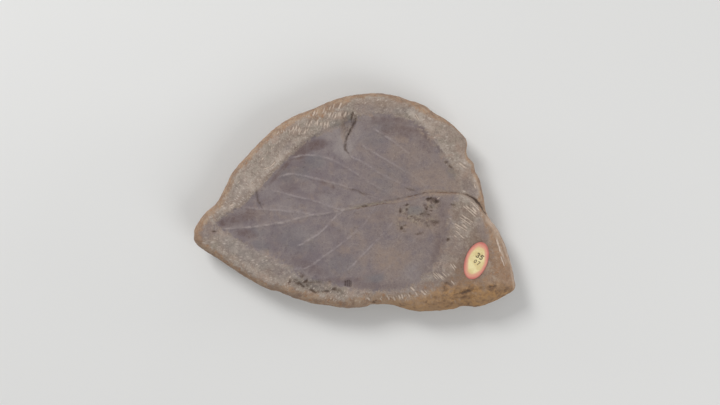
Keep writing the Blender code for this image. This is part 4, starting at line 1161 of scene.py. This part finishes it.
# The finest venation, a faint net between the side veins
NET_SIZE = 3.6
net_inputs = {"Vector": tree.place, "Scale": 1 / (NET_SIZE * MM)}
net = tree.node("ShaderNodeTexVoronoi", net_inputs, feature="DISTANCE_TO_EDGE")
net_line = tree.ramp(net.outputs["Distance"], 0.09, 0.02)
net_line = tree.times(net_line, leaf, tree.ramp(cloud, 0.4, 0.6, 0.03, 0.14))
colour = tree.layers(
    colour,
    (tree.times(side_line, 0.7), tint(158, 148, 147)),
    (tree.times(thin_rib, 0.7), tint(160, 149, 145)),
    (earth_share, earth_colour),
    (side_lines, tint(106, 84, 72)),
    (stalk_line, tint(108, 80, 60)),
    (net_line, tint(160, 149, 142)),
)

# Pits and slits are earthy brown, darkened with painted shade the deeper they go, with crumbling edges; a
# wider ring round each is stain and painted shade
in_pit = tree.plus(tree.attribute("pit"), tree.wobble(fine, 0.28))
off_slit = tree.size(tree.plus(tree.attribute("slit_offset"), tree.wobble(chip, 0.3)))
over_slit = tree.plus(tree.maths("SUBTRACT", off_slit, tree.attribute("slit_half")), tree.wobble(fine, 0.25))
slit_dark = tree.attribute("slit_dark")
hollow_shade = tree.most(tree.ramp(in_pit, 0.4, 0.85), tree.times(tree.ramp(over_slit, 0.1, -0.25), slit_dark))
stain_and_shade = tree.most(tree.ramp(in_pit, 0.12, 0.5), tree.times(tree.ramp(over_slit, 0.7, 0.0), slit_dark))

# The notches below the leaf are a row of dark stripes of painted shade, one down in each notch
bars = tree.maths("SINE", tree.times(across_plate, 2 * math.pi / (NOTCH_STEP * MM)))
bars = tree.times(
    tree.ramp(bars, -0.5, 0.4, 0.5, 1.0),
    tree.ramp(tree.attribute("notches"), 0.3, 0.8),
    tree.ramp(fine, 0.45, 0.65, 1.0, 0.75),
)

# The crack at the stalk is widest where it leaves the face and runs out at the edge. Its dark middle is
# painted shade down in the open crack, with a browner band beside it
along_crack = tree.times(tree.ramp(across_plate, 0.0455, 0.0505), near_rib)
from_crack = tree.plus(
    from_rib,
    tree.ramp(fine, 0.3, 0.7, -0.12, 0.16),
    tree.ramp(across_plate, 0.0505, 0.0525, 0.0, -0.2),
    tree.ramp(across_plate, 0.0530, 0.0560, 0.0, 0.3),
)
crack = tree.times(tree.ramp(from_crack, 0.36, 0.12), along_crack)
by_crack = tree.times(tree.ramp(from_crack, 0.95, 0.3), along_crack)
# Stain and painted shade multiplied in round the pits and slits, then the painted shade of the hollows, the
# notches and the crack
colour = tree.shade(tree.times(stain_and_shade, 0.5), colour, tint(176, 158, 146))
colour = tree.layers(
    colour,
    (tree.times(hollow_shade, 0.82), tint(86, 70, 61)),
    (tree.times(bars, 0.92), tint(76, 62, 61)),
    (tree.times(by_crack, 0.5), tint(116, 94, 76)),
    (tree.times(crack, 0.9), tint(72, 58, 50)),
)

# The whole surface carries a fine pepper of dark and pale grains, and dents that the mesh is too coarse for
pepper = tree.grain(0.45, 2.0, 0.6)
colour = tree.shade(tree.ramp(pepper, 0.55, 0.7, 0.0, 0.2), colour, tint(150, 145, 140))
colour = tree.blend(tree.ramp(pepper, 0.45, 0.3, 0.0, 0.08), colour, tint(190, 180, 165))
dents = tree.plus(tree.times(fleck, 0.3), tree.times(stroke, 0.5), tree.most(hollow_shade, bars, crack))
height = tree.maths("SUBTRACT", tree.grain(0.9, 6.0, 0.7), dents)
rub = tree.node("ShaderNodeBump", {"Strength": 0.7, "Distance": 0.00022, "Height": height})
tree.surface({
    "Base Color": colour,
    "Metallic": 0.0,
    "Specular IOR Level": 0.3,
    "Roughness": tree.ramp(fine, 0.3, 0.7, 0.78, 0.95),
    "Normal": rub.outputs["Normal"],
})
stone.data.materials.append(tree.material)
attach(stone, "root")
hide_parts("stone_plate")

# The paper label
# A small oval of cream gummed paper with a printed red border and a number in brown ink, glued to the face at
# its lower right. It follows the stone under it, and is a little grubby and lifted at one end.
LABEL_LENGTH = 16.7
LABEL_WIDTH = 9.7
LABEL_THICKNESS = 0.18
LABEL_LIFT = 0.28
LABEL_PLACE = (52.4, -25.0)
LABEL_BEARING = 69.4
BORDER_WIDTH = 1.2
LABEL_GRID = 110
PAPER_RIPPLE = 0.05
PAPER_CURL = 0.12

label_turn, label_share, label_quads = round_grid(LABEL_GRID)[:3]
angle = 2 * math.pi * label_turn
along = label_share * LABEL_LENGTH / 2 * np.cos(angle)
across = label_share * LABEL_WIDTH / 2 * np.sin(angle)
bearing = math.radians(LABEL_BEARING)
label_x = LABEL_PLACE[0] + along * math.cos(bearing) - across * math.sin(bearing)
label_y = LABEL_PLACE[1] + along * math.sin(bearing) + across * math.cos(bearing)
label_z = face_height(label_x, label_y, STONE_EDGE.inset(label_x, label_y), LEAF_EDGE.inset(label_x, label_y))
flat_label = np.stack([label_x, label_y, 0 * label_x], axis=1)
label_z = label_z + LABEL_LIFT + PAPER_RIPPLE * lattice_noise(flat_label, 3.0, 91)
label_z = label_z + PAPER_CURL * smooth_step(0.55, 1.0, along / LABEL_LENGTH * 2) ** 2
label = make_mesh("label", np.stack([label_x, label_y, label_z], axis=1), label_quads)
paper_wall = label.modifiers.new("paper_thickness", "SOLIDIFY")
paper_wall.thickness = LABEL_THICKNESS * MM
paper_wall.offset = -1

# Two rows of digits, written across the label: each digit's pen strokes in half widths and half heights
PEN_HALF_WIDTH = 0.22
ZERO = [[(0.1, 1.0), (-0.7, 0.4), (-0.7, -0.5), (-0.1, -1.0), (0.6, -0.5), (0.7, 0.4), (0.1, 1.0)]]
THREE = [[(-0.8, 0.8), (0.0, 1.0), (0.75, 0.7), (0.5, 0.2), (-0.1, 0.0), (0.7, -0.25), (0.8, -0.75),
          (0.0, -1.0), (-0.85, -0.8)]]
FIVE = [[(-0.5, 0.95), (-0.7, 0.1), (0.1, 0.25), (0.8, -0.15), (0.6, -0.8), (-0.1, -1.0), (-0.8, -0.8)],
        [(-0.5, 0.95), (0.1, 0.9), (0.85, 1.0)]]
SEVEN = [[(-0.8, 0.9), (0.0, 1.0), (0.8, 0.9), (0.2, 0.0), (-0.2, -1.0)]]
# Where each digit stands, right of the label's middle line and towards its top, then its half width, its half
# height and how heavily it is written
DIGITS = [
    (THREE, -0.1, 2.4, 0.6, 0.92, 1.2),
    (FIVE, 1.6, 2.1, 0.6, 0.92, 1.2),
    (ZERO, -0.3, -0.4, 0.5, 0.74, 0.75),
    (SEVEN, 1.3, -0.75, 0.5, 0.74, 0.75),
]
WRITING_TURN = math.radians(-14)
ink_gap = np.full(along.shape, 9.0)
for digit, right, up, half_width, half_height, weight in DIGITS:
    for points in digit:
        pen = np.array(points) * (half_width, half_height)
        turned_x = pen[:, 0] * math.cos(WRITING_TURN) - pen[:, 1] * math.sin(WRITING_TURN)
        turned_y = pen[:, 0] * math.sin(WRITING_TURN) + pen[:, 1] * math.cos(WRITING_TURN)
        pen = smooth_path(np.stack([turned_x + right, turned_y + up], axis=1), 0.15)
        offset = path_offset(-across, along, pen)[0]
        ink_gap = np.minimum(ink_gap, np.abs(offset) / weight)
set_attribute(label, "ink_gap", ink_gap)
set_attribute(label, "rim_gap", (1 - label_share) * LABEL_WIDTH / 2)

tree = ShaderTree("gummed_label_paper")
stain_and_shade = tree.grain(3.5, 4.0)
fibre = tree.grain(0.5, 5.0, 0.7)
fibres = tree.ramp(fibre, 0.35, 0.65)
rim = tree.plus(tree.attribute("rim_gap"), tree.wobble(fibre, 0.18), tree.wobble(stain_and_shade, 0.2))
faded = tree.blend(fibres, tint(217, 161, 138), tint(211, 146, 126))
red = tree.blend(fibres, tint(204, 124, 115), tint(192, 108, 102))
from_pen = tree.plus(tree.attribute("ink_gap"), tree.wobble(fibre, 0.06))
ink = tree.ramp(from_pen, PEN_HALF_WIDTH + 0.08, PEN_HALF_WIDTH - 0.08)
colour = tree.blend(tree.ramp(stain_and_shade, 0.38, 0.62), tint(231, 218, 168), tint(216, 197, 145))
colour = tree.shade(tree.ramp(fibre, 0.45, 0.7, 0.0, 0.5), colour, tint(232, 224, 205))
colour = tree.layers(
    colour,
    (tree.ramp(rim, BORDER_WIDTH + 0.6, BORDER_WIDTH - 0.2), faded),
    (tree.ramp(rim, 0.85, 0.15), red),
    (tree.ramp(rim, 0.2, 0.02, 0.0, 0.5), tint(170, 118, 102)),
    (tree.times(ink, tree.ramp(fibre, 0.3, 0.6, 0.6, 0.95)), tint(74, 58, 46)),
)
rub = tree.node("ShaderNodeBump", {"Strength": 0.4, "Distance": 0.00008, "Height": fibre})
tree.surface({
    "Base Color": colour,
    "Roughness": 0.75,
    "Specular IOR Level": 0.25,
    "Normal": rub.outputs["Normal"],
})
label.data.materials.append(tree.material)
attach(label, "root")
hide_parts("paper_label")

# The studio
# A pale floor of matt card that the plate lies on, a soft lamp high on the upper left, a weaker one opposite,
# three low lamps that catch the edges, and a camera that looks straight down at the leaf.
FLOOR_SIDE = 4.0
FLOOR_LEVEL = -0.00002
FLOOR_SIGNS = ((-1, -1), (1, -1), (1, 1), (-1, 1))
floor_mesh = bpy.data.meshes.new("floor")
corners = [(across * FLOOR_SIDE / 2, up * FLOOR_SIDE / 2, FLOOR_LEVEL) for across, up in FLOOR_SIGNS]
floor_mesh.from_pydata(corners, [], [(0, 1, 2, 3)])
floor = bpy.data.objects.new("floor", floor_mesh)
bpy.context.scene.collection.objects.link(floor)
card = ShaderTree("pale_card")
card.surface({"Base Color": (0.72, 0.72, 0.71, 1), "Roughness": 0.95, "Specular IOR Level": 0.1})
floor_mesh.materials.append(card.material)

world = bpy.data.worlds.new("studio")
world.use_nodes = True
sky = world.node_tree.nodes["Background"].inputs
sky["Color"].default_value = (1.0, 1.0, 1.0, 1)
sky["Strength"].default_value = 0.36
bpy.context.scene.world = world


def soft_lamp(name, place, aim, side, power):
    """A square lamp at a place, turned to shine at a point."""
    data = bpy.data.lights.new(name, "AREA")
    data.size = side
    data.energy = power
    lamp = bpy.data.objects.new(name, data)
    lamp.location = place
    direction = np.array(aim, float) - np.array(place, float)
    flat = math.hypot(direction[0], direction[1])
    heading = math.atan2(direction[1], direction[0]) - math.pi / 2
    lamp.rotation_euler = (math.atan2(flat, -direction[2]), 0, heading)
    bpy.context.scene.collection.objects.link(lamp)


PLATE_MIDDLE = (0, 0, 0.01)
soft_lamp("key", (-0.5, 0.6, 0.75), PLATE_MIDDLE, 0.35, 6.6)
soft_lamp("fill", (0.5, -0.55, 0.6), PLATE_MIDDLE, 0.6, 3.2)
soft_lamp("left_edge", (-0.7, 0.25, 0.1), PLATE_MIDDLE, 0.2, 0.75)
soft_lamp("right_edge", (0.75, 0.1, 0.1), PLATE_MIDDLE, 0.2, 1.5)
soft_lamp("top_edge", (0.2, 0.75, 0.1), PLATE_MIDDLE, 0.2, 0.5)

bpy.context.scene.view_settings.view_transform = "Standard"

# The photograph's view: the lens's axis stands on the face, a little right of the plate's middle
LENS = 60.0
SENSOR = 36.0
MM_PER_PIXEL = 0.4368
IMAGE_WIDTH = 720
GIRDLE_PLANE = 0.010
LENS_AXIS = 0.0024
camera_data = bpy.data.cameras.new("camera")
camera_data.lens = LENS
camera_data.sensor_width = SENSOR
camera = bpy.data.objects.new("camera", camera_data)
camera.location = (LENS_AXIS, 0.0, GIRDLE_PLANE + LENS / SENSOR * IMAGE_WIDTH * MM_PER_PIXEL * MM)
bpy.context.scene.collection.objects.link(camera)
bpy.context.scene.camera = camera
